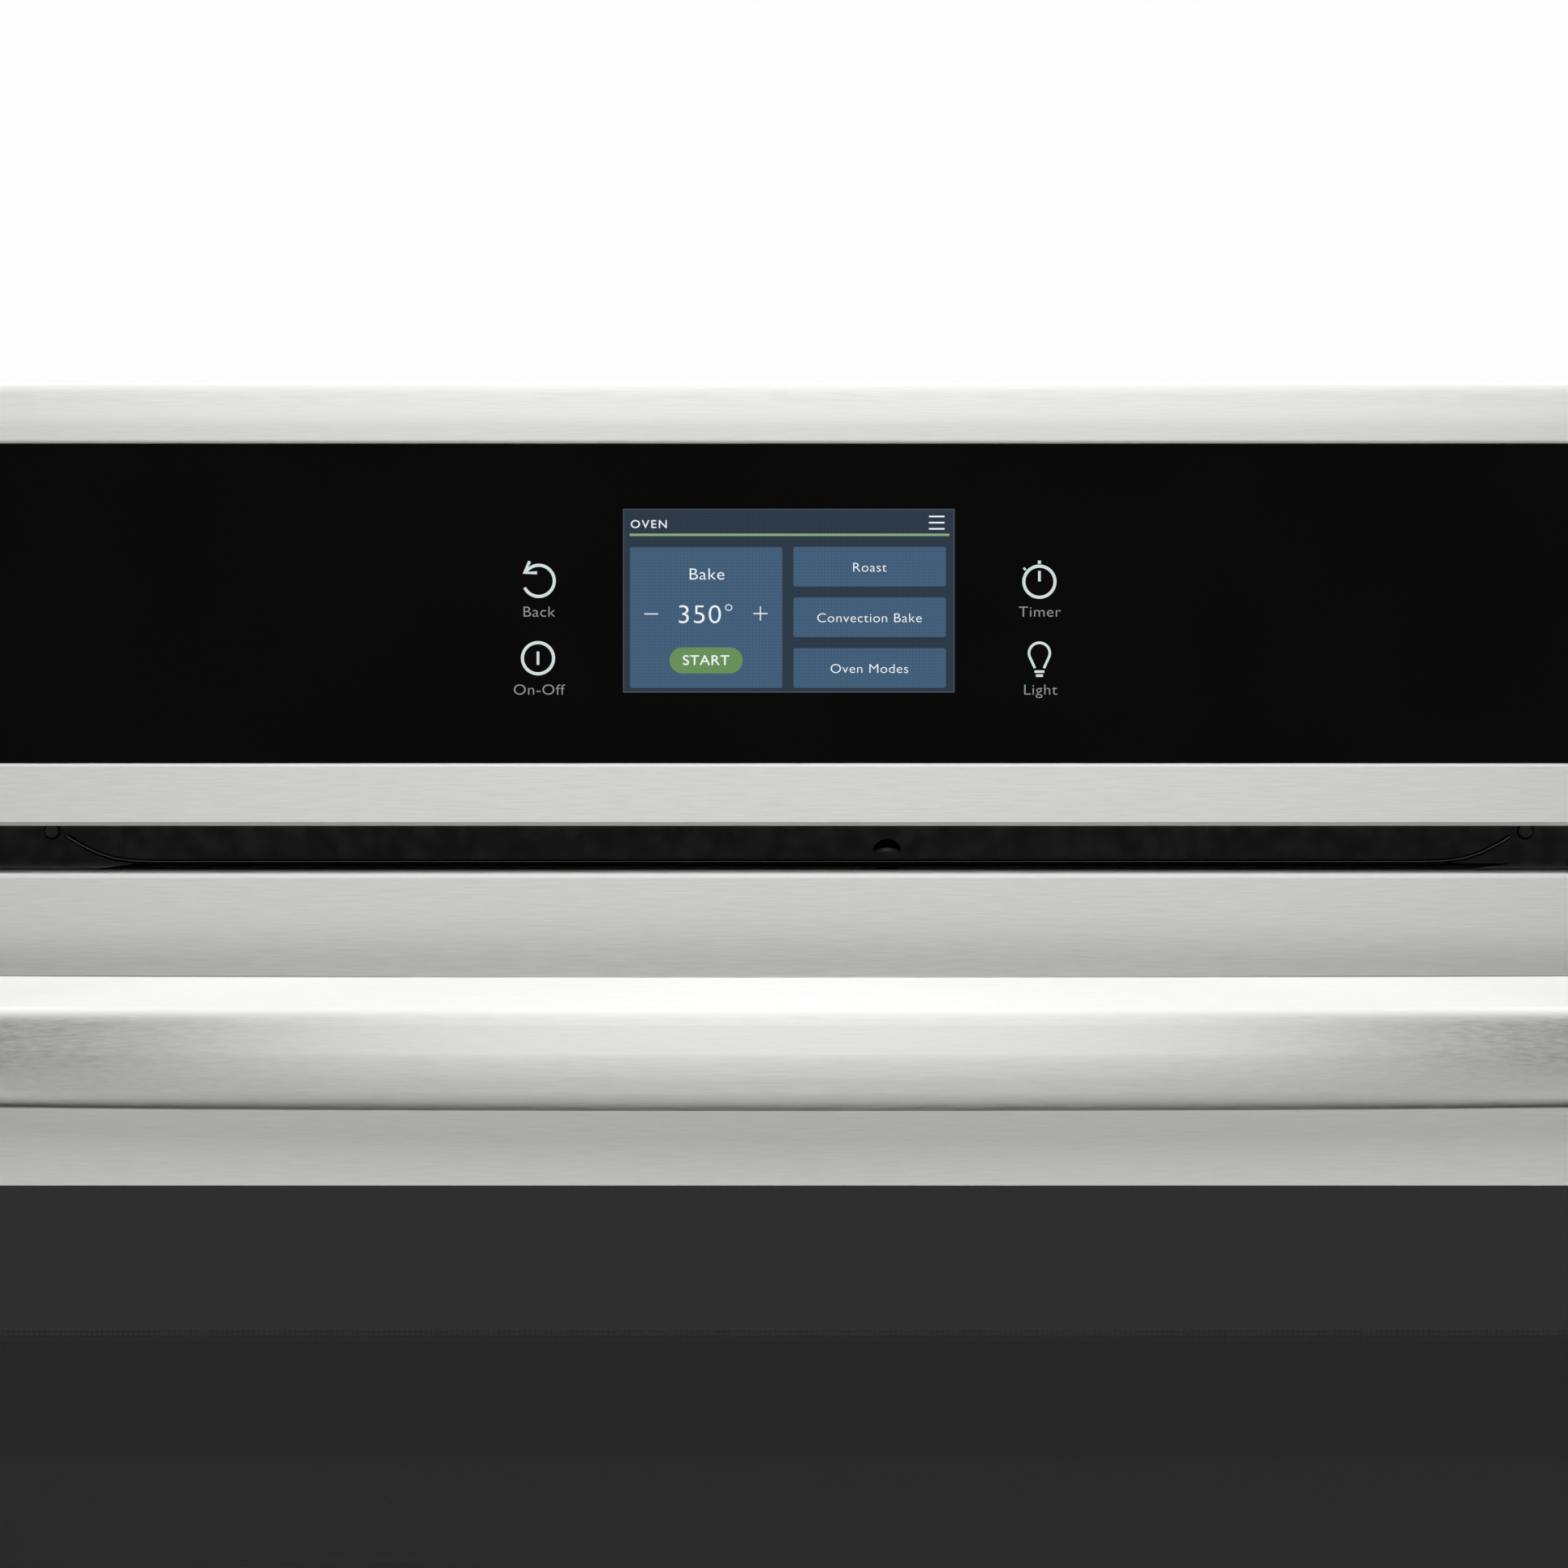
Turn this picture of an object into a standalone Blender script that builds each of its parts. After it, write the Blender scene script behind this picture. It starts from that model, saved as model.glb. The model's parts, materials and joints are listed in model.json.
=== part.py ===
"""Built-in electric wall oven with a touch-glass control panel and a drop-down door.

Units are metres. X runs to the right seen from the front, Y runs into the cabinet
and Z runs up. The origin is on the underside of the base pan, in the middle, in the
plane of the cabinet's face. Run it with blender --background --python part.py.
"""

import math

import bmesh
import bpy
from mathutils import Matrix, Vector

# ---------------------------------------------------------------- driving sizes
GAP = 0.0003  # working gap between neighbouring pieces
SHEET = 0.001  # pressed steel of chassis, cavity and door liner

BODY_WIDTH = 0.718  # chassis that slides into the cabinet opening
BODY_DEPTH = 0.5853  # cabinet face to the rear of the back panel
CABINET_OVERLAP = 0.0205  # front trim past the chassis on each side
TOP_OVERLAP = 0.0206  # control panel past the chassis top

TRIM_LIFT = 0.002  # lower trim ends this far above the shelf
BOTTOM_TRIM_HEIGHT = 0.056
DOOR_LOWER_GAP = 0.008
DOOR_HEIGHT = 0.532
DOOR_SIDE_INSET = 0.0015
VENT_GAP = 0.013  # between the door and the control panel
PANEL_HEIGHT = 0.1276
FACE_PROUD = 0.045  # door and lower trim stand this far off the cabinet face
TRIM_STRIP = 0.003  # thickness of the side trims

FRAME_SHEET = 0.0012
FRAME_PROUD = 0.006  # front face of the enamelled frame off the cabinet face
SEAL_SPACE = 0.0075  # frame to closed door
CHANNEL_HALF = 0.190  # pressed air channel along the top of the frame
CHANNEL_RAMP = 0.024
CHANNEL_DEPTH = 0.003
CHANNEL_ABOVE_DOOR = 0.0015

SIDE_AIR = 0.012
SIDE_INSULATION = 0.035
TOP_INSULATION = 0.034
BOTTOM_INSULATION = 0.028
BAKE_SPACE = 0.022  # room for the hidden element under the cavity floor
SEAL_BAND_BOTTOM = 0.046  # door bottom to cavity floor
SEAL_BAND_TOP = 0.042  # cavity roof to door top
REAR_SPACE = 0.095  # cavity back to the rear of the chassis
GASKET_RADIUS = 0.0034
GASKET_OFFSET = 0.013
CAVITY_CORNER = 0.022  # inner corner radius of the cavity and of the frame's opening

FASCIA_SHEET = 0.0012
FASCIA_PROUD = 0.0015  # steel bands stand proud of the glass
BAND = 0.018  # steel bands above and below the control glass
GLASS_SIDE_BAND = 0.0217
GLASS_TUCK = 0.005  # control glass behind the steel bands
GLASS = 0.004
END_CAP = 0.0072
CROWN = 0.003  # the upper band leans back this far at its top
DISPLAY_WIDTH = 0.0951
DISPLAY_HEIGHT = 0.0527
DISPLAY_ABOVE = 0.0008  # display centre above the middle of the control panel

EDGE_RADIUS = 0.0022  # rolled edges of the steel skins
WINDOW_TOP_BAND = 0.0903
WINDOW_SIDE_BAND = 0.098
WINDOW_BOTTOM_BAND = 0.092
PANE_OVERLAP = 0.008
TUNNEL_INSET = 0.008  # glass pack tunnel inside the window opening
INNER_PANE_OVERLAP = 0.017

HANDLE_REACH = 0.065  # handle front off the door face at mid-length
HANDLE_HEIGHT = 0.038
HANDLE_THICKNESS = 0.018
HANDLE_BOW = 0.034
HANDLE_TOP_DROP = 0.0282  # door top to handle top
HANDLE_END_INSET = 0.033
POST_INSET = 0.063
POST_WIDTH = 0.026
POST_HEIGHT = 0.026

HINGE_INSET = 0.078
HINGE_AXIS_HEIGHT = 0.014  # above the door bottom
HINGE_AXIS_DEPTH = 0.010  # behind the door face
HINGE_ARM_HALF = 0.004
HINGE_ARM_HEIGHT = 0.0042  # half
HINGE_CHANNEL_HALF = 0.0085
HINGE_CHANNEL_LENGTH = 0.120
HINGE_CLAW_LENGTH = 0.045
PIN_RADIUS = 0.0025

TRAY_ABOVE_DOOR = 0.0025
DUCT_HEIGHT = 0.021
DUCT_MOUTH_HALF = 0.200
LATCH_X = 0.241
LATCH_PIVOT_Y = 0.030
LATCH_BELOW_TOP = 0.0165  # hook's middle under the door top
LATCH_PLATE = 0.003
SWITCH_X = -0.240
PLUNGER_RADIUS = 0.0035

RACK_LEVEL_PITCH = 0.075
RACK_FIRST_LEVEL = 0.028
RACK_LEVELS = 5
RAIL_RADIUS = 0.003
POST_WIRE = 0.0025
RACK_WIRE = 0.003
GRID_WIRE = 0.0019
BRACE_WIRE = 0.0024
GRID_PITCH = 0.040
RACK_FRONT = 0.040
RACK_CLEARANCE = 0.007  # behind the rack, to the fan cover

FAN_COVER_HALF = 0.150
FAN_COVER_HEIGHT = 0.270
FAN_COVER_DEPTH = 0.036
FAN_RADIUS = 0.070
RING_RADIUS = 0.092
ELEMENT_RADIUS = 0.0033
SHAFT_RADIUS = 0.004
LAMP_X = 0.215
LAMP_DROP = 0.060
LAMP_RADIUS = 0.028
BROIL_DROP = 0.022  # broil element under the cavity roof
PROBE_X = -0.200

BLOWER_RADIUS = 0.062
BLOWER_HEIGHT = 0.050
BLOWER_Y = 0.300
WHEEL_RADIUS = 0.048
WHEEL_HEIGHT = 0.032
GLAND_INSET = 0.070
GLAND_DROP = 0.058
GLAND_RADIUS = 0.012

# ------------------------------------------------------------ places they give
HALF_BODY = BODY_WIDTH / 2
HALF_FACE = HALF_BODY + CABINET_OVERLAP
HALF_DOOR = HALF_FACE - DOOR_SIDE_INSET
TRIM_TOP = TRIM_LIFT + BOTTOM_TRIM_HEIGHT
DOOR_BOTTOM = TRIM_TOP + DOOR_LOWER_GAP
DOOR_TOP = DOOR_BOTTOM + DOOR_HEIGHT
PANEL_BOTTOM = DOOR_TOP + VENT_GAP
PANEL_TOP = PANEL_BOTTOM + PANEL_HEIGHT
BODY_TOP = PANEL_TOP - TOP_OVERLAP

DOOR_FRONT = -FACE_PROUD
FRAME_FRONT = -FRAME_PROUD
FRAME_BACK = FRAME_FRONT + FRAME_SHEET
CHASSIS_FRONT = FRAME_BACK + GAP
DOOR_BACK = FRAME_FRONT - SEAL_SPACE
CHASSIS_BACK = BODY_DEPTH - SHEET - GAP

BLANKET_HALF = HALF_BODY - SHEET - SIDE_AIR
CAVITY_OUTER = BLANKET_HALF - SIDE_INSULATION - GAP
CAVITY_HALF = CAVITY_OUTER - SHEET
CAVITY_FLOOR = DOOR_BOTTOM + SEAL_BAND_BOTTOM
CAVITY_ROOF = DOOR_TOP - SEAL_BAND_TOP
CAVITY_BACK = BODY_DEPTH - REAR_SPACE
CAVITY_MIDDLE = (CAVITY_FLOOR + CAVITY_ROOF) / 2
BLANKET_BOTTOM = CAVITY_FLOOR - SHEET - BAKE_SPACE - BOTTOM_INSULATION
BLANKET_TOP = CAVITY_ROOF + SHEET + GAP + TOP_INSULATION

WINDOW_HALF = HALF_DOOR - WINDOW_SIDE_BAND
WINDOW_LOW = DOOR_BOTTOM + WINDOW_BOTTOM_BAND
WINDOW_HIGH = DOOR_TOP - WINDOW_TOP_BAND
SKIN_BACK = DOOR_BACK - SHEET - GAP
PANE_FRONT = DOOR_FRONT + SHEET + GAP
PANE_BACK = PANE_FRONT + GLASS
INNER_PANE_BACK = DOOR_BACK - SHEET - GAP
INNER_PANE_FRONT = INNER_PANE_BACK - GLASS
TUNNEL_HALF = WINDOW_HALF - TUNNEL_INSET
TUNNEL_LOW = WINDOW_LOW + TUNNEL_INSET
TUNNEL_HIGH = WINDOW_HIGH - TUNNEL_INSET
TUNNEL_FRONT = PANE_BACK + GAP
TUNNEL_BACK = INNER_PANE_FRONT - GAP

HINGE_X = HALF_DOOR - HINGE_INSET
HINGE_Y = DOOR_FRONT + HINGE_AXIS_DEPTH
HINGE_Z = DOOR_BOTTOM + HINGE_AXIS_HEIGHT

HANDLE_TOP = DOOR_TOP - HANDLE_TOP_DROP
HANDLE_MIDDLE = HANDLE_TOP - HANDLE_HEIGHT / 2
HANDLE_FRONT = DOOR_FRONT - HANDLE_REACH
HANDLE_HALF = HALF_DOOR - HANDLE_END_INSET
BOW_RADIUS = HANDLE_HALF**2 / (2 * HANDLE_BOW) + HANDLE_BOW / 2

PANEL_FACE = DOOR_FRONT - FASCIA_PROUD
GLASS_LOW = PANEL_BOTTOM + BAND
GLASS_HIGH = PANEL_TOP - BAND
FASCIA_HALF = HALF_FACE - END_CAP - GAP
GLASS_HALF = HALF_FACE - GLASS_SIDE_BAND
CONTROL_GLASS_FRONT = PANEL_FACE + FASCIA_SHEET + GAP
CONTROL_GLASS_BACK = CONTROL_GLASS_FRONT + GLASS
DISPLAY_Z = (PANEL_BOTTOM + PANEL_TOP) / 2 + DISPLAY_ABOVE

TRAY_Z = DOOR_TOP + TRAY_ABOVE_DOOR
TRAY_TOP = TRAY_Z + SHEET
LATCH_Z = DOOR_TOP - LATCH_BELOW_TOP
DUCT_LOW = TRAY_TOP + 0.012
FRAME_TOP = PANEL_BOTTOM + 0.0005
FAN_Z = CAVITY_MIDDLE
BROIL_Z = CAVITY_ROOF - BROIL_DROP
LAMP_Z = CAVITY_ROOF - LAMP_DROP
RAIL_X = CAVITY_HALF - POST_WIRE * 2 - SHEET - RAIL_RADIUS / 2

PARTS = CUTTERS = None


# ------------------------------------------------------------------ small tools
def new_collection(name):
    collection = bpy.data.collections.new(name)
    bpy.context.scene.collection.children.link(collection)
    return collection


def new_object(name, bm, collection=None):
    mesh = bpy.data.meshes.new(name)
    bm.to_mesh(mesh)
    bm.free()
    obj = bpy.data.objects.new(name, mesh)
    (collection or PARTS).objects.link(obj)
    return obj


def as_cutter(obj):
    for collection in list(obj.users_collection):
        collection.objects.unlink(obj)
    CUTTERS.objects.link(obj)
    obj.hide_render = True
    obj.display_type = "WIRE"
    return obj


def combine(obj, other, operation):
    modifier = obj.modifiers.new(other.name, "BOOLEAN")
    modifier.operation = operation
    modifier.solver = "EXACT"
    modifier.object = as_cutter(other)


def cut(obj, *others):
    for other in others:
        combine(obj, other, "DIFFERENCE")


def join(obj, *others):
    for other in others:
        combine(obj, other, "UNION")


def cube_mesh(low, high):
    low, high = Vector(low), Vector(high)
    size = high - low
    bm = bmesh.new()
    place = Matrix.Translation((low + high) / 2) @ Matrix.Diagonal((*size, 1))
    bmesh.ops.create_cube(bm, size=1, matrix=place)
    return bm


def block(name, low, high):
    return new_object(name, cube_mesh(low, high))


def rounded_block(name, low, high, radius, axis=None, segments=3):
    """A box with its edges rounded, or only those along one axis."""
    bm = cube_mesh(low, high)
    edges = list(bm.edges)
    if axis is not None:
        edges = [e for e in edges if abs((e.verts[1].co - e.verts[0].co)[axis]) > 1e-6]
    bmesh.ops.bevel(
        bm, geom=edges, offset=radius, segments=segments, profile=0.5, affect="EDGES"
    )
    return new_object(name, bm)


def rod(name, start, end, radius, sides=12):
    start, end = Vector(start), Vector(end)
    along = end - start
    turn = Vector((0, 0, 1)).rotation_difference(along).to_matrix().to_4x4()
    bm = bmesh.new()
    bmesh.ops.create_cone(
        bm,
        cap_ends=True,
        segments=sides,
        radius1=radius,
        radius2=radius,
        depth=along.length,
        matrix=Matrix.Translation((start + end) / 2) @ turn,
    )
    obj = new_object(name, bm)
    smooth(obj)
    return obj


def rods(name, ends, radius, sides=6):
    """Several separate rods in one mesh, for one Boolean."""
    bm = bmesh.new()
    for start, end in ends:
        start, end = Vector(start), Vector(end)
        along = end - start
        turn = Vector((0, 0, 1)).rotation_difference(along).to_matrix().to_4x4()
        place = Matrix.Translation((start + end) / 2) @ turn
        bmesh.ops.create_cone(
            bm,
            cap_ends=True,
            segments=sides,
            radius1=radius,
            radius2=radius,
            depth=along.length,
            matrix=place,
        )
    return new_object(name, bm)


def smooth(obj, angle=math.radians(35)):
    obj.data.shade_smooth()
    obj.data.set_sharp_from_angle(angle=angle)


def prism(name, outline, low_x, high_x):
    """A closed outline of (y, z) points, extruded along X."""
    bm = bmesh.new()
    face = bm.faces.new([bm.verts.new((low_x, y, z)) for y, z in outline])
    extruded = bmesh.ops.extrude_face_region(bm, geom=[face])["geom"]
    moved = [item for item in extruded if isinstance(item, bmesh.types.BMVert)]
    bmesh.ops.translate(bm, verts=moved, vec=(high_x - low_x, 0, 0))
    bmesh.ops.recalc_face_normals(bm, faces=bm.faces)
    return new_object(name, bm)


def turned(name, profile, centre, steps=20):
    """A closed profile of (radius, y) points, spun about the Y axis through centre."""
    bm = bmesh.new()
    verts = [bm.verts.new((radius, y, 0)) for radius, y in profile]
    edges = [bm.edges.new((a, b)) for a, b in zip(verts, verts[1:] + verts[:1])]
    bmesh.ops.spin(
        bm,
        geom=verts + edges,
        cent=(0, 0, 0),
        axis=(0, 1, 0),
        angle=2 * math.pi,
        steps=steps,
        use_merge=True,
    )
    bmesh.ops.remove_doubles(bm, verts=bm.verts, dist=1e-6)
    bmesh.ops.dissolve_degenerate(bm, edges=bm.edges, dist=1e-7)
    bmesh.ops.translate(bm, verts=bm.verts, vec=centre)
    bmesh.ops.recalc_face_normals(bm, faces=bm.faces)
    obj = new_object(name, bm)
    smooth(obj)
    return obj


def fillet_path(corners, radius, steps=3, closed=False):
    """Corner points joined by straight runs with arcs of the radius at the corners."""
    corners = [Vector(c) for c in corners]
    points = []
    for i, corner in enumerate(corners):
        before, after = corners[i - 1], corners[(i + 1) % len(corners)]
        if not closed and i in (0, len(corners) - 1):
            points.append(corner)
            continue
        back, ahead = (before - corner).normalized(), (after - corner).normalized()
        half = back.angle(ahead) / 2
        centre = corner + (back + ahead).normalized() * radius / math.sin(half)
        first = corner + back * radius / math.tan(half) - centre
        last = corner + ahead * radius / math.tan(half) - centre
        sweep = first.angle(last)
        for k in range(steps + 1):
            t = k / steps
            arc = first * math.sin((1 - t) * sweep) + last * math.sin(t * sweep)
            points.append(centre + arc / math.sin(sweep))
    return points


def wire(name, points, radius, closed=False, resolution=1):
    curve = bpy.data.curves.new(name, "CURVE")
    curve.dimensions = "3D"
    curve.bevel_depth = radius
    curve.bevel_resolution = resolution
    curve.use_fill_caps = True
    spline = curve.splines.new("POLY")
    spline.points.add(len(points) - 1)
    for place, point in zip(spline.points, points):
        place.co = (*point, 1)
    spline.use_cyclic_u = closed
    obj = bpy.data.objects.new(name, curve)
    PARTS.objects.link(obj)
    return obj


def meshed(obj):
    """A wire as a mesh with its caps welded, so that a Boolean can use it."""
    name = obj.name
    bpy.context.view_layer.update()
    evaluated = obj.evaluated_get(bpy.context.evaluated_depsgraph_get())
    mesh = bpy.data.meshes.new_from_object(evaluated)
    place = obj.matrix_world.copy()
    bpy.data.objects.remove(obj)
    bm = bmesh.new()
    bm.from_mesh(mesh)
    bmesh.ops.remove_doubles(bm, verts=bm.verts, dist=1e-6)
    bm.to_mesh(mesh)
    bm.free()
    made = bpy.data.objects.new(name, mesh)
    made.matrix_world = place
    PARTS.objects.link(made)
    return made


FINISHES = {
    "stainless": ((0.60, 0.59, 0.57), 0.32, 1.0, 1.0),
    "galvanised": ((0.50, 0.52, 0.54), 0.45, 1.0, 1.0),
    "black_enamel": ((0.012, 0.012, 0.013), 0.12, 0.0, 1.0),
    "blue_enamel": ((0.020, 0.026, 0.045), 0.18, 0.0, 1.0),
    "black_paint": ((0.020, 0.020, 0.022), 0.40, 0.0, 1.0),
    "black_glass": ((0.004, 0.005, 0.006), 0.04, 0.0, 1.0),
    "clear_glass": ((0.75, 0.80, 0.78), 0.03, 0.0, 0.35),
    "chrome": ((0.70, 0.71, 0.72), 0.10, 1.0, 1.0),
    "steel": ((0.42, 0.42, 0.43), 0.35, 1.0, 1.0),
    "element": ((0.08, 0.08, 0.085), 0.55, 1.0, 1.0),
    "glass_wool": ((0.72, 0.66, 0.42), 0.95, 0.0, 1.0),
    "woven_seal": ((0.16, 0.16, 0.16), 0.85, 0.0, 1.0),
    "black_plastic": ((0.025, 0.025, 0.027), 0.50, 0.0, 1.0),
    "white_plastic": ((0.75, 0.75, 0.72), 0.45, 0.0, 1.0),
    "circuit_board": ((0.03, 0.16, 0.07), 0.45, 0.0, 1.0),
    "display": ((0.045, 0.085, 0.135), 0.12, 0.0, 1.0),
    "aluminium": ((0.62, 0.63, 0.64), 0.40, 1.0, 1.0),
}


def finish(obj, kind):
    colour, roughness, metallic, alpha = FINISHES[kind]
    made = bpy.data.materials.new(f"{obj.name}_{kind}")
    made.use_nodes = True
    shader = made.node_tree.nodes["Principled BSDF"]
    shader.inputs["Base Color"].default_value = (*colour, 1)
    shader.inputs["Roughness"].default_value = roughness
    shader.inputs["Metallic"].default_value = metallic
    shader.inputs["Alpha"].default_value = alpha
    made.diffuse_color = (*colour, alpha)
    obj.data.materials.clear()
    obj.data.materials.append(made)
    return obj


def pivot(name, location):
    empty = bpy.data.objects.new(name, None)
    empty.location = location
    empty.empty_display_size = 0.03
    PARTS.objects.link(empty)
    return empty


def attach(empty, *objects):
    for obj in objects:
        obj.parent = empty
        obj.matrix_parent_inverse = Matrix.Translation(-empty.location)


def each_side():
    return (("left", -1), ("right", 1))


def span(side, near, far):
    """Low and high X of a stretch given by its distances from the middle."""
    return (near, far) if side > 0 else (-far, -near)


# ---------------------------------------------------------------------- chassis
def tray(name, low, high, open_side, wall=SHEET):
    """A box of sheet, open on one side: open_side is (axis, direction)."""
    axis, direction = open_side
    inner_low = [value + wall for value in low]
    inner_high = [value - wall for value in high]
    if direction > 0:
        inner_high[axis] = high[axis] + wall
    else:
        inner_low[axis] = low[axis] - wall
    obj = block(name, low, high)
    cut(obj, block(f"{name}_hollow", inner_low, inner_high))
    return obj


def slots(obj, count, pitch, first_low, first_high, axis):
    """A row of equal slots cut along an axis, from the first slot's box."""
    for i in range(count):
        step = Vector((0, 0, 0))
        step[axis] = i * pitch
        low, high = Vector(first_low) + step, Vector(first_high) + step
        cut(obj, block(f"{obj.name}_slot_{i}", low, high))


def chassis():
    inside = HALF_BODY - SHEET - GAP
    low = (-inside, CHASSIS_FRONT, 0)
    high = (inside, CHASSIS_BACK, 0.020)
    finish(tray("base_pan", low, high, (2, 1)), "galvanised")
    low = (-inside, CHASSIS_FRONT, BODY_TOP - 0.018)
    high = (inside, CHASSIS_BACK, BODY_TOP)
    top = tray("chassis_top", low, high, (2, -1))
    slot_low = (-0.202, BODY_DEPTH - 0.150, BODY_TOP - 0.003)
    slot_high = (-0.148, BODY_DEPTH - 0.144, BODY_TOP + 0.003)
    for row in range(4):
        step = Vector((0, row * 0.022, 0))
        slots(top, 6, 0.070, Vector(slot_low) + step, Vector(slot_high) + step, 0)
    finish(top, "galvanised")
    for side, sign in each_side():
        x = span(sign, HALF_BODY - SHEET, HALF_BODY)
        flange_x = span(sign, HALF_BODY - 0.016, HALF_BODY - SHEET / 2)
        panel = block(
            f"chassis_side_{side}",
            (x[0], CHASSIS_FRONT, 0.0005),
            (x[1], CHASSIS_BACK, BODY_TOP),
        )
        flange = block(
            f"side_flange_{side}",
            (flange_x[0], CHASSIS_FRONT, 0.020 + GAP),
            (flange_x[1], CHASSIS_FRONT + SHEET, BODY_TOP - 0.018 - GAP),
        )
        join(panel, flange)
        slot_x = span(sign, HALF_BODY - 0.005, HALF_BODY + 0.005)
        slots(
            panel,
            6,
            0.014,
            (slot_x[0], 0.40, TRAY_TOP + 0.020),
            (slot_x[1], 0.50, TRAY_TOP + 0.024),
            2,
        )
        finish(panel, "galvanised")
        side_trim(side, sign)
    back = block(
        "chassis_back",
        (-HALF_BODY, CHASSIS_BACK + GAP, 0.0005),
        (HALF_BODY, BODY_DEPTH, BODY_TOP),
    )
    slots(
        back,
        7,
        0.012,
        (0.10, BODY_DEPTH - 0.005, TRAY_TOP + 0.016),
        (0.28, BODY_DEPTH + 0.005, TRAY_TOP + 0.021),
        2,
    )
    gland_x, gland_z = -(HALF_BODY - GLAND_INSET), BODY_TOP - GLAND_DROP
    hole = rod(
        "gland_hole",
        (gland_x, BODY_DEPTH - 0.01, gland_z),
        (gland_x, BODY_DEPTH + 0.01, gland_z),
        GLAND_RADIUS + GAP,
        16,
    )
    cut(back, hole)
    finish(back, "galvanised")
    gland = turned(
        "conduit_gland",
        [
            (GLAND_RADIUS - 0.003, -0.010),
            (GLAND_RADIUS, -0.010),
            (GLAND_RADIUS, GAP),
            (GLAND_RADIUS + 0.006, GAP),
            (GLAND_RADIUS + 0.006, 0.006),
            (GLAND_RADIUS + 0.001, 0.006),
            (GLAND_RADIUS + 0.001, 0.018),
            (GLAND_RADIUS - 0.003, 0.018),
        ],
        (gland_x, BODY_DEPTH, gland_z),
    )
    finish(gland, "aluminium")


def side_trim(side, sign):
    plate_x = span(sign, HALF_BODY + GAP, HALF_FACE)
    leg_x = span(sign, HALF_BODY + GAP, HALF_BODY + 0.0023)
    trim = block(
        f"side_trim_{side}",
        (plate_x[0], -TRIM_STRIP, TRIM_LIFT),
        (plate_x[1], 0, PANEL_TOP - FASCIA_SHEET - GAP),
    )
    leg = block(
        f"trim_leg_{side}",
        (leg_x[0], -TRIM_STRIP, TRIM_LIFT + 0.010),
        (leg_x[1], 0.014, BODY_TOP - 0.010),
    )
    join(trim, leg)
    hole_x = sign * (HALF_BODY + 0.011)
    for i, z in enumerate((DOOR_BOTTOM + 0.060, DOOR_TOP - 0.080)):
        hole = rod(f"trim_hole_{side}_{i}", (hole_x, -0.01, z), (hole_x, 0.01, z), 0.0023)
        cut(trim, hole)
    finish(trim, "black_paint")


def bottom_trim():
    low = (-HALF_FACE, DOOR_FRONT, TRIM_LIFT)
    high = (HALF_FACE, FRAME_FRONT - GAP, TRIM_TOP)
    trim = rounded_block("bottom_trim", low, (high[0], high[1] + 0.01, high[2]), 0.0018)
    wall = FASCIA_SHEET
    hollow = block(
        "bottom_trim_hollow",
        (low[0] + wall, low[1] + wall, low[2] + wall),
        (high[0] - wall, high[1] + 0.02, high[2] - wall),
    )
    rear = block(
        "bottom_trim_rear",
        (low[0] - 0.01, high[1], low[2] - 0.01),
        (high[0] + 0.01, high[1] + 0.03, high[2] + 0.01),
    )
    cut(trim, hollow, rear)
    finish(trim, "stainless")


# --------------------------------------------------------- cavity and its frame
def front_frame():
    half, low, high = HALF_BODY - 0.0005, TRIM_LIFT + 0.020, FRAME_TOP
    floor_z = DOOR_TOP + CHANNEL_ABOVE_DOOR
    bm = bmesh.new()
    turn = Matrix.Rotation(math.pi / 2, 4, "X")
    size = Matrix.Diagonal((2 * half, 1, high - low, 1))
    place = Matrix.Translation((0, FRAME_BACK, (low + high) / 2)) @ size @ turn
    bmesh.ops.create_grid(bm, x_segments=1, y_segments=1, size=0.5, matrix=place)
    lines = [((sign * (CHANNEL_HALF + ramp), 0, 0), (1, 0, 0))
             for sign in (-1, 1) for ramp in (0, CHANNEL_RAMP)]
    lines += [((0, 0, floor_z - drop), (0, 0, 1)) for drop in (0, CHANNEL_DEPTH)]
    for point, normal in lines:
        geometry = list(bm.verts) + list(bm.edges) + list(bm.faces)
        bmesh.ops.bisect_plane(bm, geom=geometry, plane_co=point, plane_no=normal)
    for vert in bm.verts:
        if abs(vert.co.x) < CHANNEL_HALF + 1e-5 and vert.co.z > floor_z - 1e-5:
            vert.co.y += CHANNEL_DEPTH
    bmesh.ops.recalc_face_normals(bm, faces=bm.faces)
    if sum(face.normal.y for face in bm.faces) > 0:
        bmesh.ops.reverse_faces(bm, faces=bm.faces)
    frame = new_object("front_frame", bm)
    solidify = frame.modifiers.new("sheet", "SOLIDIFY")
    solidify.thickness = FRAME_SHEET
    solidify.offset = 1
    opening = rounded_block(
        "frame_opening",
        (-CAVITY_HALF, -0.05, CAVITY_FLOOR),
        (CAVITY_HALF, 0.05, CAVITY_ROOF),
        CAVITY_CORNER,
        axis=1,
    )
    cut(frame, opening)
    for side, sign in each_side():
        x = sign * HINGE_X
        arm = HINGE_ARM_HALF + 0.002
        slot = block(
            f"frame_hinge_slot_{side}",
            (x - arm, -0.05, HINGE_Z - HINGE_ARM_HEIGHT - 0.002),
            (x + arm, 0.05, HINGE_Z + HINGE_ARM_HEIGHT + 0.002),
        )
        cut(frame, slot)
    latch = block(
        "frame_latch_slot",
        (LATCH_X - 0.018, -0.05, LATCH_Z - 0.004),
        (LATCH_X + 0.011, 0.05, LATCH_Z + 0.004),
    )
    hole = rod(
        "frame_plunger_hole",
        (SWITCH_X, -0.05, LATCH_Z),
        (SWITCH_X, 0.05, LATCH_Z),
        PLUNGER_RADIUS + 0.0007,
        16,
    )
    cut(frame, latch, hole)
    finish(frame, "black_enamel")


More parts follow.
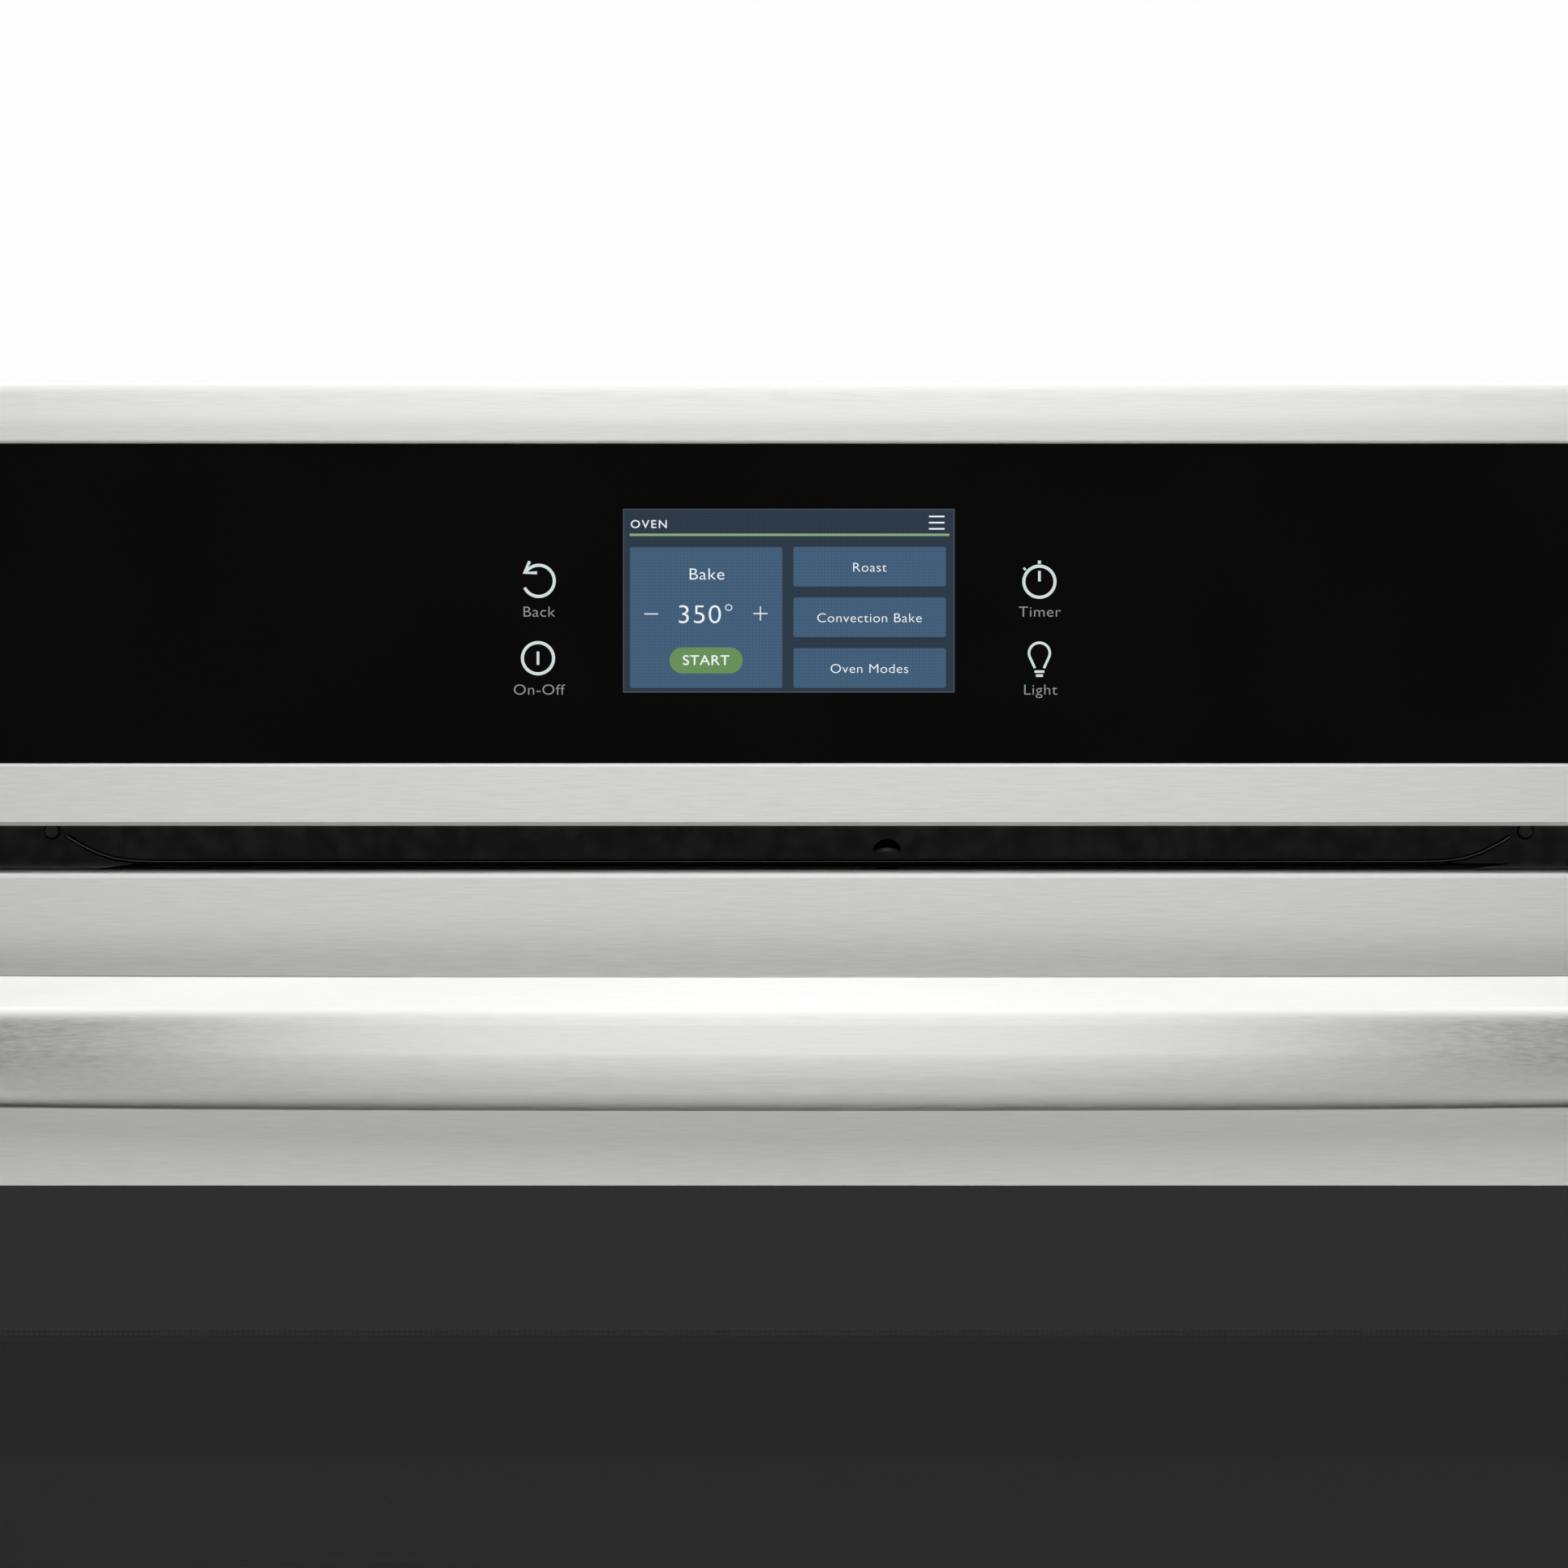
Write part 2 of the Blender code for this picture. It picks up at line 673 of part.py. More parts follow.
def cavity():
    front = FRAME_BACK + GAP
    shell = rounded_block(
        "oven_cavity",
        (-CAVITY_OUTER, front, CAVITY_FLOOR - SHEET),
        (CAVITY_OUTER, CAVITY_BACK - GAP, CAVITY_ROOF + SHEET),
        CAVITY_CORNER + SHEET,
        axis=1,
    )
    hollow = rounded_block(
        "cavity_hollow",
        (-CAVITY_HALF, front - 0.01, CAVITY_FLOOR),
        (CAVITY_HALF, CAVITY_BACK + 0.01, CAVITY_ROOF),
        CAVITY_CORNER,
        axis=1,
    )
    cut(shell, hollow)
    finish(shell, "blue_enamel")
    back = rounded_block(
        "cavity_back",
        (-CAVITY_OUTER, CAVITY_BACK, CAVITY_FLOOR - SHEET),
        (CAVITY_OUTER, CAVITY_BACK + SHEET, CAVITY_ROOF + SHEET),
        CAVITY_CORNER + SHEET,
        axis=1,
    )
    holes = [(0, FAN_Z, SHAFT_RADIUS + 0.002), (LAMP_X, LAMP_Z, LAMP_RADIUS - 0.008)]
    holes += [(x, BROIL_Z, ELEMENT_RADIUS + 0.0008) for x in (-0.03, 0.03)]
    holes += [(x, FAN_Z - RING_RADIUS, ELEMENT_RADIUS + 0.0008) for x in (-0.015, 0.015)]
    holes += [(PROBE_X, BROIL_Z, 0.0035)]
    for i, (x, z, radius) in enumerate(holes):
        start, end = (x, CAVITY_BACK - 0.02, z), (x, CAVITY_BACK + 0.02, z)
        cut(back, rod(f"cavity_back_hole_{i}", start, end, radius))
    finish(back, "blue_enamel")


def blanket():
    wool = block(
        "insulation_blanket",
        (-BLANKET_HALF, CHASSIS_FRONT + SHEET + GAP, BLANKET_BOTTOM),
        (BLANKET_HALF, CAVITY_BACK + SHEET, BLANKET_TOP),
    )
    core = block(
        "blanket_core",
        (-CAVITY_OUTER - GAP, -0.1, BLANKET_BOTTOM + BOTTOM_INSULATION),
        (CAVITY_OUTER + GAP, BODY_DEPTH, CAVITY_ROOF + SHEET + GAP),
    )
    cut(wool, core)
    for side, sign in each_side():
        x = sign * HINGE_X
        pocket = block(
            f"blanket_hinge_{side}",
            (x - 0.012, -0.1, BLANKET_BOTTOM - 0.01),
            (x + 0.012, HINGE_CLAW_LENGTH + 0.006, BLANKET_BOTTOM + BOTTOM_INSULATION + 0.01),
        )
        cut(wool, pocket)
    for name, x in (("latch", LATCH_X), ("switch", SWITCH_X)):
        pocket = block(
            f"blanket_{name}",
            (x - 0.028, -0.1, LATCH_Z - 0.012),
            (x + 0.034, LATCH_PIVOT_Y + 0.025, BLANKET_TOP + 0.01),
        )
        cut(wool, pocket)
    finish(wool, "glass_wool")


def gasket():
    x = CAVITY_HALF + GASKET_OFFSET
    low, high = CAVITY_FLOOR - GASKET_OFFSET, CAVITY_ROOF + GASKET_OFFSET
    y = FRAME_FRONT - GAP - GASKET_RADIUS
    corners = [(-x, y, low), (x, y, low), (x, y, high), (-x, y, high)]
    path = fillet_path(corners, 0.035, steps=5, closed=True)
    finish(wire("door_gasket", path, GASKET_RADIUS, closed=True), "woven_seal")


# ------------------------------------------------------------ racks and guides
def rack_guides():
    post_x = CAVITY_HALF - POST_WIRE - SHEET
    low, high = CAVITY_FLOOR + CAVITY_CORNER, CAVITY_ROOF - 0.070
    front, back = RACK_FRONT + 0.020, CAVITY_BACK - 0.060
    for side, sign in each_side():
        posts = rods(
            f"rack_guide_{side}",
            [((sign * post_x, y, low), (sign * post_x, y, high)) for y in (front, back)],
            POST_WIRE,
        )
        rails = []
        for level in range(RACK_LEVELS):
            z = rail_height(level)
            if z > high - RAIL_RADIUS:
                break
            ends = [(sign * RAIL_X, y, z) for y in (front - 0.040, back + 0.030)]
            rails.append(tuple(ends))
        join(posts, rods(f"guide_rails_{side}", rails, RAIL_RADIUS, 8))
        finish(posts, "chrome")


def rail_height(level):
    return CAVITY_FLOOR + RACK_FIRST_LEVEL + level * RACK_LEVEL_PITCH


def rack(name, level):
    x = RAIL_X - 0.0035
    z = rail_height(level) + RAIL_RADIUS + RACK_WIRE
    front = RACK_FRONT
    back = CAVITY_BACK - FAN_COVER_DEPTH - RACK_CLEARANCE
    corners = [(-x, front, z), (x, front, z), (x, back, z), (-x, back, z)]
    path = fillet_path(corners, 0.014, closed=True)
    frame = meshed(wire(name, path, RACK_WIRE, closed=True))
    count = round(2 * (x - GRID_PITCH / 2) / GRID_PITCH)
    pitch = 2 * x / (count + 1)
    top = z + RACK_WIRE + GRID_WIRE * 0.4
    bars = [
        ((-x + i * pitch, front - 0.0015, top), (-x + i * pitch, back + 0.0015, top))
        for i in range(1, count + 1)
    ]
    join(frame, rods(f"{name}_bars", bars, GRID_WIRE))
    depth = back - front
    low = z - 0.0004
    ends = [((-x, front + f * depth, low), (x, front + f * depth, low)) for f in (0.3, 0.7)]
    join(frame, rods(f"{name}_braces", ends, BRACE_WIRE))
    return finish(frame, "chrome")


# ---------------------------------------------------------- heating and airflow
def elements():
    front, inner_front, back = 0.060, 0.085, CAVITY_BACK - 0.110
    pitch = (CAVITY_HALF - 0.080) / 3
    for name, z in (("broil_element", BROIL_Z), ("bake_element", CAVITY_FLOOR - 0.012)):
        right = [
            (0.030, CAVITY_BACK + 0.012, z),
            (0.030, back, z),
            (pitch, back, z),
            (pitch, inner_front, z),
            (2 * pitch, inner_front, z),
            (2 * pitch, back, z),
            (3 * pitch, back, z),
            (3 * pitch, front, z),
        ]
        left = [(-x, y, z) for x, y, z in right]
        points = fillet_path(right + left[::-1], 0.012)
        finish(wire(name, points, ELEMENT_RADIUS), "element")
    ring_y = CAVITY_BACK - FAN_COVER_DEPTH / 2
    open_angle = 0.18
    steps = 28
    ring = []
    for i in range(steps + 1):
        turn = -math.pi / 2 + open_angle + (2 * math.pi - 2 * open_angle) * i / steps
        x, z = RING_RADIUS * math.cos(turn), FAN_Z + RING_RADIUS * math.sin(turn)
        ring.append((x, ring_y, z))
    low = FAN_Z - RING_RADIUS
    ring[0], ring[-1] = (0.015, ring_y, low), (-0.015, ring_y, low)
    ring.insert(0, (0.015, CAVITY_BACK + 0.012, low))
    ring.append((-0.015, CAVITY_BACK + 0.012, low))
    finish(wire("convection_element", ring, ELEMENT_RADIUS * 0.9), "element")
    probe = rod(
        "temperature_probe",
        (PROBE_X, CAVITY_BACK - 0.090, BROIL_Z),
        (PROBE_X, CAVITY_BACK + 0.014, BROIL_Z),
        0.003,
        8,
    )
    finish(probe, "steel")


def radial_blades(name, count, inner, outer, thickness, low_y, high_y, lean):
    """Flat blades standing round the Y axis, as separate boxes in one mesh."""
    bm = bmesh.new()
    for i in range(count):
        size = Matrix.Diagonal((outer - inner, high_y - low_y, thickness, 1))
        place = Matrix.Rotation(2 * math.pi * i / count, 4, "Y")
        place @= Matrix.Translation(((inner + outer) / 2, (low_y + high_y) / 2, 0))
        place @= Matrix.Rotation(lean, 4, "Y")
        bmesh.ops.create_cube(bm, size=1, matrix=place @ size)
    return new_object(name, bm)


def shift(obj, offset):
    obj.data.transform(Matrix.Translation(offset))
    return obj


def convection():
    back = CAVITY_BACK - GAP
    front = CAVITY_BACK - FAN_COVER_DEPTH
    half_height = FAN_COVER_HEIGHT / 2
    cover = rounded_block(
        "fan_cover",
        (-FAN_COVER_HALF, front, FAN_Z - half_height),
        (FAN_COVER_HALF, back + 0.02, FAN_Z + half_height),
        0.006,
    )
    hollow = rounded_block(
        "fan_cover_hollow",
        (-FAN_COVER_HALF + SHEET, front + SHEET, FAN_Z - half_height + SHEET),
        (FAN_COVER_HALF - SHEET, back + 0.03, FAN_Z + half_height - SHEET),
        0.005,
    )
    rear = block(
        "fan_cover_rear",
        (-0.3, back, FAN_Z - 0.3),
        (0.3, back + 0.05, FAN_Z + 0.3),
    )
    cut(cover, hollow, rear)
    intakes = []
    for ring, count in ((0.018, 6), (0.036, 12), (0.054, 18)):
        for i in range(count):
            turn = 2 * math.pi * (i + 0.5) / count
            x, z = ring * math.cos(turn), FAN_Z + ring * math.sin(turn)
            intakes.append(((x, front - 0.01, z), (x, front + 0.01, z)))
    cut(cover, rods("fan_cover_intakes", intakes, 0.0052, 6))
    for side, sign in each_side():
        x = sign * (FAN_COVER_HALF - 0.032)
        for i in range(5):
            z = FAN_Z + (i - 2) * 0.036
            slot = block(
                f"fan_cover_slot_{side}_{i}",
                (x - 0.016, front - 0.01, z - 0.003),
                (x + 0.016, front + 0.01, z + 0.003),
            )
            cut(cover, slot)
    finish(cover, "blue_enamel")

    blades_low, blades_high = front + 0.007, back - 0.009
    fan = rod("convection_fan", (0, blades_high - 0.002, 0), (0, blades_high, 0), 0.060, 24)
    blades = radial_blades("fan_blades", 10, 0.020, FAN_RADIUS, 0.0012, blades_low,
                           blades_high - 0.001, 0.35)
    shaft = rod("fan_shaft", (0, blades_low, 0), (0, back + 0.022, 0), SHAFT_RADIUS, 12)
    for piece in (fan, blades, shaft):
        shift(piece, (0, 0, FAN_Z))
    join(fan, blades, shaft)
    finish(fan, "steel")
    attach(pivot("fan_axis", (0, back, FAN_Z)), fan)

    motor_front = CAVITY_BACK + SHEET + GAP
    motor = turned(
        "fan_motor",
        [
            (SHAFT_RADIUS + 0.0005, 0),
            (0.042, 0),
            (0.042, 0.0015),
            (0.030, 0.0015),
            (0.030, 0.048),
            (0.012, 0.052),
            (0, 0.052),
            (0, 0.030),
            (SHAFT_RADIUS + 0.0005, 0.030),
        ],
        (0, motor_front, FAN_Z),
    )
    finish(motor, "galvanised")


def lamp():
    lens = turned(
        "lamp_lens",
        [
            (0, -0.022),
            (LAMP_RADIUS * 0.55, -0.019),
            (LAMP_RADIUS * 0.9, -0.010),
            (LAMP_RADIUS, -GAP),
            (LAMP_RADIUS - 0.003, -GAP),
            (LAMP_RADIUS * 0.9 - 0.003, -0.009),
            (LAMP_RADIUS * 0.55, -0.0165),
            (0, -0.0195),
        ],
        (LAMP_X, CAVITY_BACK, LAMP_Z),
    )
    finish(lens, "clear_glass")
    socket = turned(
        "lamp_socket",
        [
            (LAMP_RADIUS - 0.008, SHEET + GAP),
            (LAMP_RADIUS, SHEET + GAP),
            (LAMP_RADIUS, 0.006),
            (LAMP_RADIUS - 0.006, 0.006),
            (LAMP_RADIUS - 0.006, 0.036),
            (0, 0.036),
            (0, 0.033),
            (LAMP_RADIUS - 0.008, 0.033),
        ],
        (LAMP_X, CAVITY_BACK, LAMP_Z),
    )
    finish(socket, "white_plastic")
    bulb = turned(
        "lamp_bulb",
        [
            (0, -0.012),
            (0.0055, -0.009),
            (0.0065, 0),
            (0.0060, 0.018),
            (0.0090, 0.018),
            (0.0090, 0.033 - GAP),
            (0, 0.033 - GAP),
        ],
        (LAMP_X, CAVITY_BACK, LAMP_Z),
        steps=14,
    )
    finish(bulb, "clear_glass")


def control_tray():
    plate = block(
        "control_tray",
        (-HALF_BODY + SHEET + GAP, FRAME_BACK + CHANNEL_DEPTH + GAP, TRAY_Z),
        (HALF_BODY - SHEET - GAP, CHASSIS_BACK - GAP, TRAY_TOP),
    )
    start = (LATCH_X, LATCH_PIVOT_Y, TRAY_Z - 0.01)
    end = (LATCH_X, LATCH_PIVOT_Y, TRAY_TOP + 0.01)
    cut(plate, rod("tray_latch_hole", start, end, 0.0045))
    finish(plate, "galvanised")


def blower():
    floor = TRAY_TOP + GAP
    top = floor + BLOWER_HEIGHT
    wall = 0.0012
    housing = rod("blower_housing", (0, BLOWER_Y, floor), (0, BLOWER_Y, top), BLOWER_RADIUS, 28)
    outlet_front = BLOWER_Y - BLOWER_RADIUS - 0.012
    outlet = block("blower_outlet", (-0.045, outlet_front, floor), (0.045, BLOWER_Y, top))
    inside = rod(
        "blower_inside",
        (0, BLOWER_Y, floor + wall),
        (0, BLOWER_Y, top - wall),
        BLOWER_RADIUS - wall,
        28,
    )
    outlet_inside = block(
        "blower_outlet_inside",
        (-0.045 + wall, outlet_front - 0.01, floor + wall),
        (0.045 - wall, BLOWER_Y, top - wall),
    )
    inlet = rod(
        "blower_inlet",
        (0, BLOWER_Y, top - 0.01),
        (0, BLOWER_Y, top + 0.01),
        WHEEL_RADIUS - 0.010,
        20,
    )
    join(housing, outlet)
    cut(housing, inside, outlet_inside, inlet)
    finish(housing, "galvanised")

    low = floor + wall + 0.006
    wheel = rod("blower_wheel", (0, BLOWER_Y, low), (0, BLOWER_Y, low + 0.002), WHEEL_RADIUS, 24)
    blades = radial_blades("wheel_blades", 20, WHEEL_RADIUS - 0.012, WHEEL_RADIUS - 0.001,
                           0.001, -WHEEL_HEIGHT, -0.001, 0.5)
    blades.data.transform(Matrix.Rotation(-math.pi / 2, 4, "X"))
    shift(blades, (0, BLOWER_Y, low))
    shaft = rod("wheel_shaft", (0, BLOWER_Y, low), (0, BLOWER_Y, top + 0.014), SHAFT_RADIUS)
    join(wheel, blades, shaft)
    finish(wheel, "aluminium")
    attach(pivot("blower_axis", (0, BLOWER_Y, low)), wheel)

    motor = turned(
        "blower_motor",
        [
            (SHAFT_RADIUS + 0.0005, 0.006),
            (0.030, 0.006),
            (0.030, 0.034),
            (0.022, 0.040),
            (0, 0.040),
            (0, 0.018),
            (SHAFT_RADIUS + 0.0005, 0.018),
        ],
        (0, 0, 0),
    )
    motor.data.transform(Matrix.Rotation(math.pi / 2, 4, "X"))
    shift(motor, (0, BLOWER_Y, top))
    legs = [((sign * 0.048, BLOWER_Y, top + GAP), (sign * 0.048, BLOWER_Y, top + 0.010))
            for sign in (-1, 1)]
    bridge = block(
        "motor_bridge",
        (-0.052, BLOWER_Y - 0.006, top + 0.0085),
        (0.052, BLOWER_Y + 0.006, top + 0.0105),
    )
    clear = rod("bridge_bore", (0, BLOWER_Y, top), (0, BLOWER_Y, top + 0.012),
                SHAFT_RADIUS + 0.0012)
    join(motor, bridge, rods("motor_legs", legs, 0.003, 8))
    cut(motor, clear)
    finish(motor, "steel")

    duct_back = outlet_front - GAP
    duct_top = DUCT_LOW + DUCT_HEIGHT
    duct = funnel("exhaust_duct", CHASSIS_FRONT, duct_back, DUCT_MOUTH_HALF, 0.045,
                  (DUCT_LOW, duct_top), (floor, top))
    inner = funnel("duct_inside", CHASSIS_FRONT - 0.001, duct_back + 0.001,
                   DUCT_MOUTH_HALF - wall, 0.045 - wall,
                   (DUCT_LOW + wall, duct_top - wall), (floor + wall, top - wall))
    cut(duct, inner)
    finish(duct, "galvanised")


def funnel(name, front, back, front_half, back_half, front_z, back_z):
    """A box that narrows from its front to its back."""
    bm = cube_mesh((-1, front, 0), (1, back, 1))
    for vert in bm.verts:
        at_front = vert.co.y < (front + back) / 2
        half, heights = (front_half, front_z) if at_front else (back_half, back_z)
        vert.co.x = math.copysign(half, vert.co.x)
        vert.co.z = heights[1] if vert.co.z > 0.5 else heights[0]
    return new_object(name, bm)


def latch():
    motor = block(
        "latch_motor",
        (LATCH_X - 0.024, LATCH_PIVOT_Y - 0.020, TRAY_TOP + GAP),
        (LATCH_X + 0.024, LATCH_PIVOT_Y + 0.024, TRAY_TOP + 0.030),
    )
    can = rod(
        "latch_motor_can",
        (LATCH_X, LATCH_PIVOT_Y, TRAY_TOP + 0.029),
        (LATCH_X, LATCH_PIVOT_Y, TRAY_TOP + 0.044),
        0.018,
        16,
    )
    bore = rod(
        "latch_motor_bore",
        (LATCH_X, LATCH_PIVOT_Y, TRAY_TOP - 0.01),
        (LATCH_X, LATCH_PIVOT_Y, TRAY_TOP + 0.014),
        0.0040,
    )
    join(motor, can)
    cut(motor, bore)
    finish(motor, "black_plastic")
    low, high = LATCH_Z - LATCH_PLATE / 2, LATCH_Z + LATCH_PLATE / 2
    tip = SKIN_BACK - 0.0115
    hook = block(
        "latch_hook",
        (LATCH_X - 0.005, tip, low),
        (LATCH_X + 0.005, LATCH_PIVOT_Y + 0.008, high),
    )
    barb = block(
        "latch_barb",
        (LATCH_X - 0.015, tip, low),
        (LATCH_X, tip + 0.0065, high),
    )
    shaft = rod(
        "latch_shaft",
        (LATCH_X, LATCH_PIVOT_Y, LATCH_Z),
        (LATCH_X, LATCH_PIVOT_Y, TRAY_TOP + 0.012),
        0.0035,
    )
    join(hook, barb, shaft)
    finish(hook, "steel")
    attach(pivot("latch_axis", (LATCH_X, LATCH_PIVOT_Y, LATCH_Z)), hook)
    switch = block(
        "door_switch",
        (SWITCH_X - 0.012, FRAME_BACK + GAP, LATCH_Z - 0.009),
        (SWITCH_X + 0.012, 0.018, LATCH_Z + 0.009),
    )
    start, end = (SWITCH_X, -0.1, LATCH_Z), (SWITCH_X, 0.1, LATCH_Z)
    cut(switch, rod("switch_bore", start, end, PLUNGER_RADIUS + 0.0004, 16))
    finish(switch, "black_plastic")
    plunger = rod(
        "switch_plunger",
        (SWITCH_X, DOOR_BACK + GAP, LATCH_Z),
        (SWITCH_X, 0.016, LATCH_Z),
        PLUNGER_RADIUS,
        16,
    )
    finish(plunger, "white_plastic")
    attach(pivot("plunger_axis", (SWITCH_X, DOOR_BACK + GAP, LATCH_Z)), plunger)


# ---------------------------------------------------------------- control panel
def fascia_outline(wall, back):
    """The steel front's outer side for wall 0, or its inner side."""
    face, low, high = PANEL_FACE + wall, PANEL_BOTTOM + wall, PANEL_TOP - wall
    radius = EDGE_RADIUS / 2
    points = [(back, low), (face + radius, low), (face, low + radius)]
    lean_from = GLASS_HIGH + GLASS_TUCK + wall
    steps = 5
    for i in range(steps + 1):
        t = i / steps
        points.append((face + CROWN * t * t, lean_from + (high - lean_from - radius) * t))
    points.append((face + CROWN + radius, high))
    points.append((back, high))
    return points


def control_panel():
    fascia = prism("control_fascia", fascia_outline(0, -GAP), -FASCIA_HALF, FASCIA_HALF)
    hollow = prism("fascia_hollow", fascia_outline(FASCIA_SHEET, 0.05), -1, 1)
    lip = block(
        "fascia_lip_gap",
        (-1, PANEL_FACE + 0.026, PANEL_BOTTOM - 0.01),
        (1, 0.05, PANEL_BOTTOM + FASCIA_SHEET + 0.0002),
    )
    opening = rounded_block(
        "fascia_opening",
        (-GLASS_HALF, PANEL_FACE - 0.01, GLASS_LOW),
        (GLASS_HALF, PANEL_FACE + FASCIA_SHEET + CROWN, GLASS_HIGH),
        0.002,
        axis=1,
    )
    cut(fascia, hollow, lip, opening)
    finish(fascia, "stainless")
    for side, sign in each_side():
        x = span(sign, FASCIA_HALF + GAP, HALF_FACE)
        outline = fascia_outline(0, -TRIM_STRIP - GAP)
        cap = prism(f"panel_end_cap_{side}", outline, *x)
        finish(cap, "stainless")
    glass = block(
        "control_glass",
        (-GLASS_HALF - GLASS_TUCK, CONTROL_GLASS_FRONT, GLASS_LOW - GLASS_TUCK),
        (GLASS_HALF + GLASS_TUCK, CONTROL_GLASS_BACK, GLASS_HIGH + GLASS_TUCK),
    )
    finish(glass, "black_glass")
    carrier_front = CONTROL_GLASS_BACK + GAP
    wall = 0.003
    inside = FASCIA_SHEET + GAP
    half = FASCIA_HALF - 0.004
    carrier = block(
        "panel_carrier",
        (-half, carrier_front, PANEL_BOTTOM + inside),
        (half, carrier_front + 0.014, PANEL_TOP - inside - 0.002),
    )
    hollow = block(
        "carrier_hollow",
        (-half + wall, carrier_front + wall, PANEL_BOTTOM + inside + wall),
        (half - wall, carrier_front + 0.1, PANEL_TOP - inside - 0.002 - wall),
    )
    window = block(
        "carrier_window",
        (-DISPLAY_WIDTH / 2 - 0.006, -0.1, DISPLAY_Z - DISPLAY_HEIGHT / 2 - 0.006),
        (DISPLAY_WIDTH / 2 + 0.006, 0.1, DISPLAY_Z + DISPLAY_HEIGHT / 2 + 0.006),
    )
    cut(carrier, hollow, window)
    finish(carrier, "black_plastic")
    display = block(
        "touch_display",
        (-DISPLAY_WIDTH / 2 - 0.004, carrier_front, DISPLAY_Z - DISPLAY_HEIGHT / 2 - 0.004),
        (DISPLAY_WIDTH / 2 + 0.004, carrier_front + 0.005, DISPLAY_Z + DISPLAY_HEIGHT / 2 + 0.004),
    )
    finish(display, "display")
    board_front = carrier_front + 0.005 + GAP
    board = block(
        "display_board",
        (-0.080, board_front, PANEL_BOTTOM + 0.020),
        (0.080, board_front + 0.0016, PANEL_TOP - 0.026),
    )
    for i, x in enumerate((-0.055, 0.0, 0.055)):
        chip = block(
            f"board_chip_{i}",
            (x - 0.012, board_front + 0.001, DISPLAY_Z - 0.012),
            (x + 0.012, board_front + 0.005, DISPLAY_Z + 0.012),
        )
        join(board, chip)
    finish(board, "circuit_board")
    floor = TRAY_TOP + GAP
    power = block("power_board", (0.150, 0.220, floor + 0.006), (0.300, 0.400, floor + 0.008))
    blocks = [(0.165, 0.240, 0.040, 0.045, 0.036), (0.225, 0.245, 0.022, 0.030, 0.018),
              (0.260, 0.245, 0.022, 0.030, 0.018), (0.230, 0.330, 0.045, 0.030, 0.024)]
    for i, (x, y, wide, deep, tall) in enumerate(blocks):
        part = block(f"power_part_{i}", (x, y, floor + 0.007), (x + wide, y + deep, floor + tall))
        join(power, part)
    stands = [((x, y, floor), (x, y, floor + 0.007)) for x in (0.158, 0.292) for y in (0.228, 0.392)]
    join(power, rods("board_stands", stands, 0.003, 6))
    finish(power, "circuit_board")


# ------------------------------------------------------------------------- door
def hinge_cutter(name, sign):
    """The slot through the door's back and bottom that the hinge arm needs."""
    x = sign * HINGE_X
    half = HINGE_ARM_HALF + 0.003
    return block(
        name,
        (x - half, HINGE_Y - 0.008, DOOR_BOTTOM - 0.01),
        (x + half, 0.05, HINGE_Z + HINGE_ARM_HEIGHT + 0.010),
    )


def door_skin():
    low = (-HALF_DOOR, DOOR_FRONT, DOOR_BOTTOM)
    high = (HALF_DOOR, SKIN_BACK, DOOR_TOP)
    skin = rounded_block("door_skin", low, (high[0], high[1] + 0.02, high[2]), EDGE_RADIUS)
    hollow = block(
        "door_skin_hollow",
        (low[0] + SHEET, low[1] + SHEET, low[2] + SHEET),
        (high[0] - SHEET, high[1] + 0.05, high[2] - SHEET),
    )
    rear = block("door_skin_rear", (-1, SKIN_BACK, 0), (1, SKIN_BACK + 0.1, 1))
    window = rounded_block(
        "door_skin_window",
        (-WINDOW_HALF, DOOR_FRONT - 0.01, WINDOW_LOW),
        (WINDOW_HALF, DOOR_FRONT + 0.01, WINDOW_HIGH),
        0.004,
        axis=1,
    )
    cut(skin, hollow, rear, window)
    for side, sign in each_side():
        cut(skin, hinge_cutter(f"skin_hinge_{side}", sign))
    return finish(skin, "stainless")


def door_liner():
    liner = rounded_block(
        "door_liner",
        (-HALF_DOOR + 0.0005, DOOR_BACK - SHEET, DOOR_BOTTOM + 0.0005),
        (HALF_DOOR - 0.0005, DOOR_BACK, DOOR_TOP - 0.0005),
        0.004,
        axis=1,
    )
    window = rounded_block(
        "liner_window",
        (-TUNNEL_HALF + INNER_PANE_OVERLAP, -0.1, TUNNEL_LOW + INNER_PANE_OVERLAP),
        (TUNNEL_HALF - INNER_PANE_OVERLAP, 0.1, TUNNEL_HIGH - INNER_PANE_OVERLAP),
        0.016,
        axis=1,
    )
    slot = block(
        "liner_latch_slot",
        (LATCH_X - 0.019, -0.1, LATCH_Z - 0.0045),
        (LATCH_X + 0.011, 0.1, LATCH_Z + 0.0045),
    )
    cut(liner, window, slot)
    for side, sign in each_side():
        cut(liner, hinge_cutter(f"liner_hinge_{side}", sign))
    return finish(liner, "black_enamel")


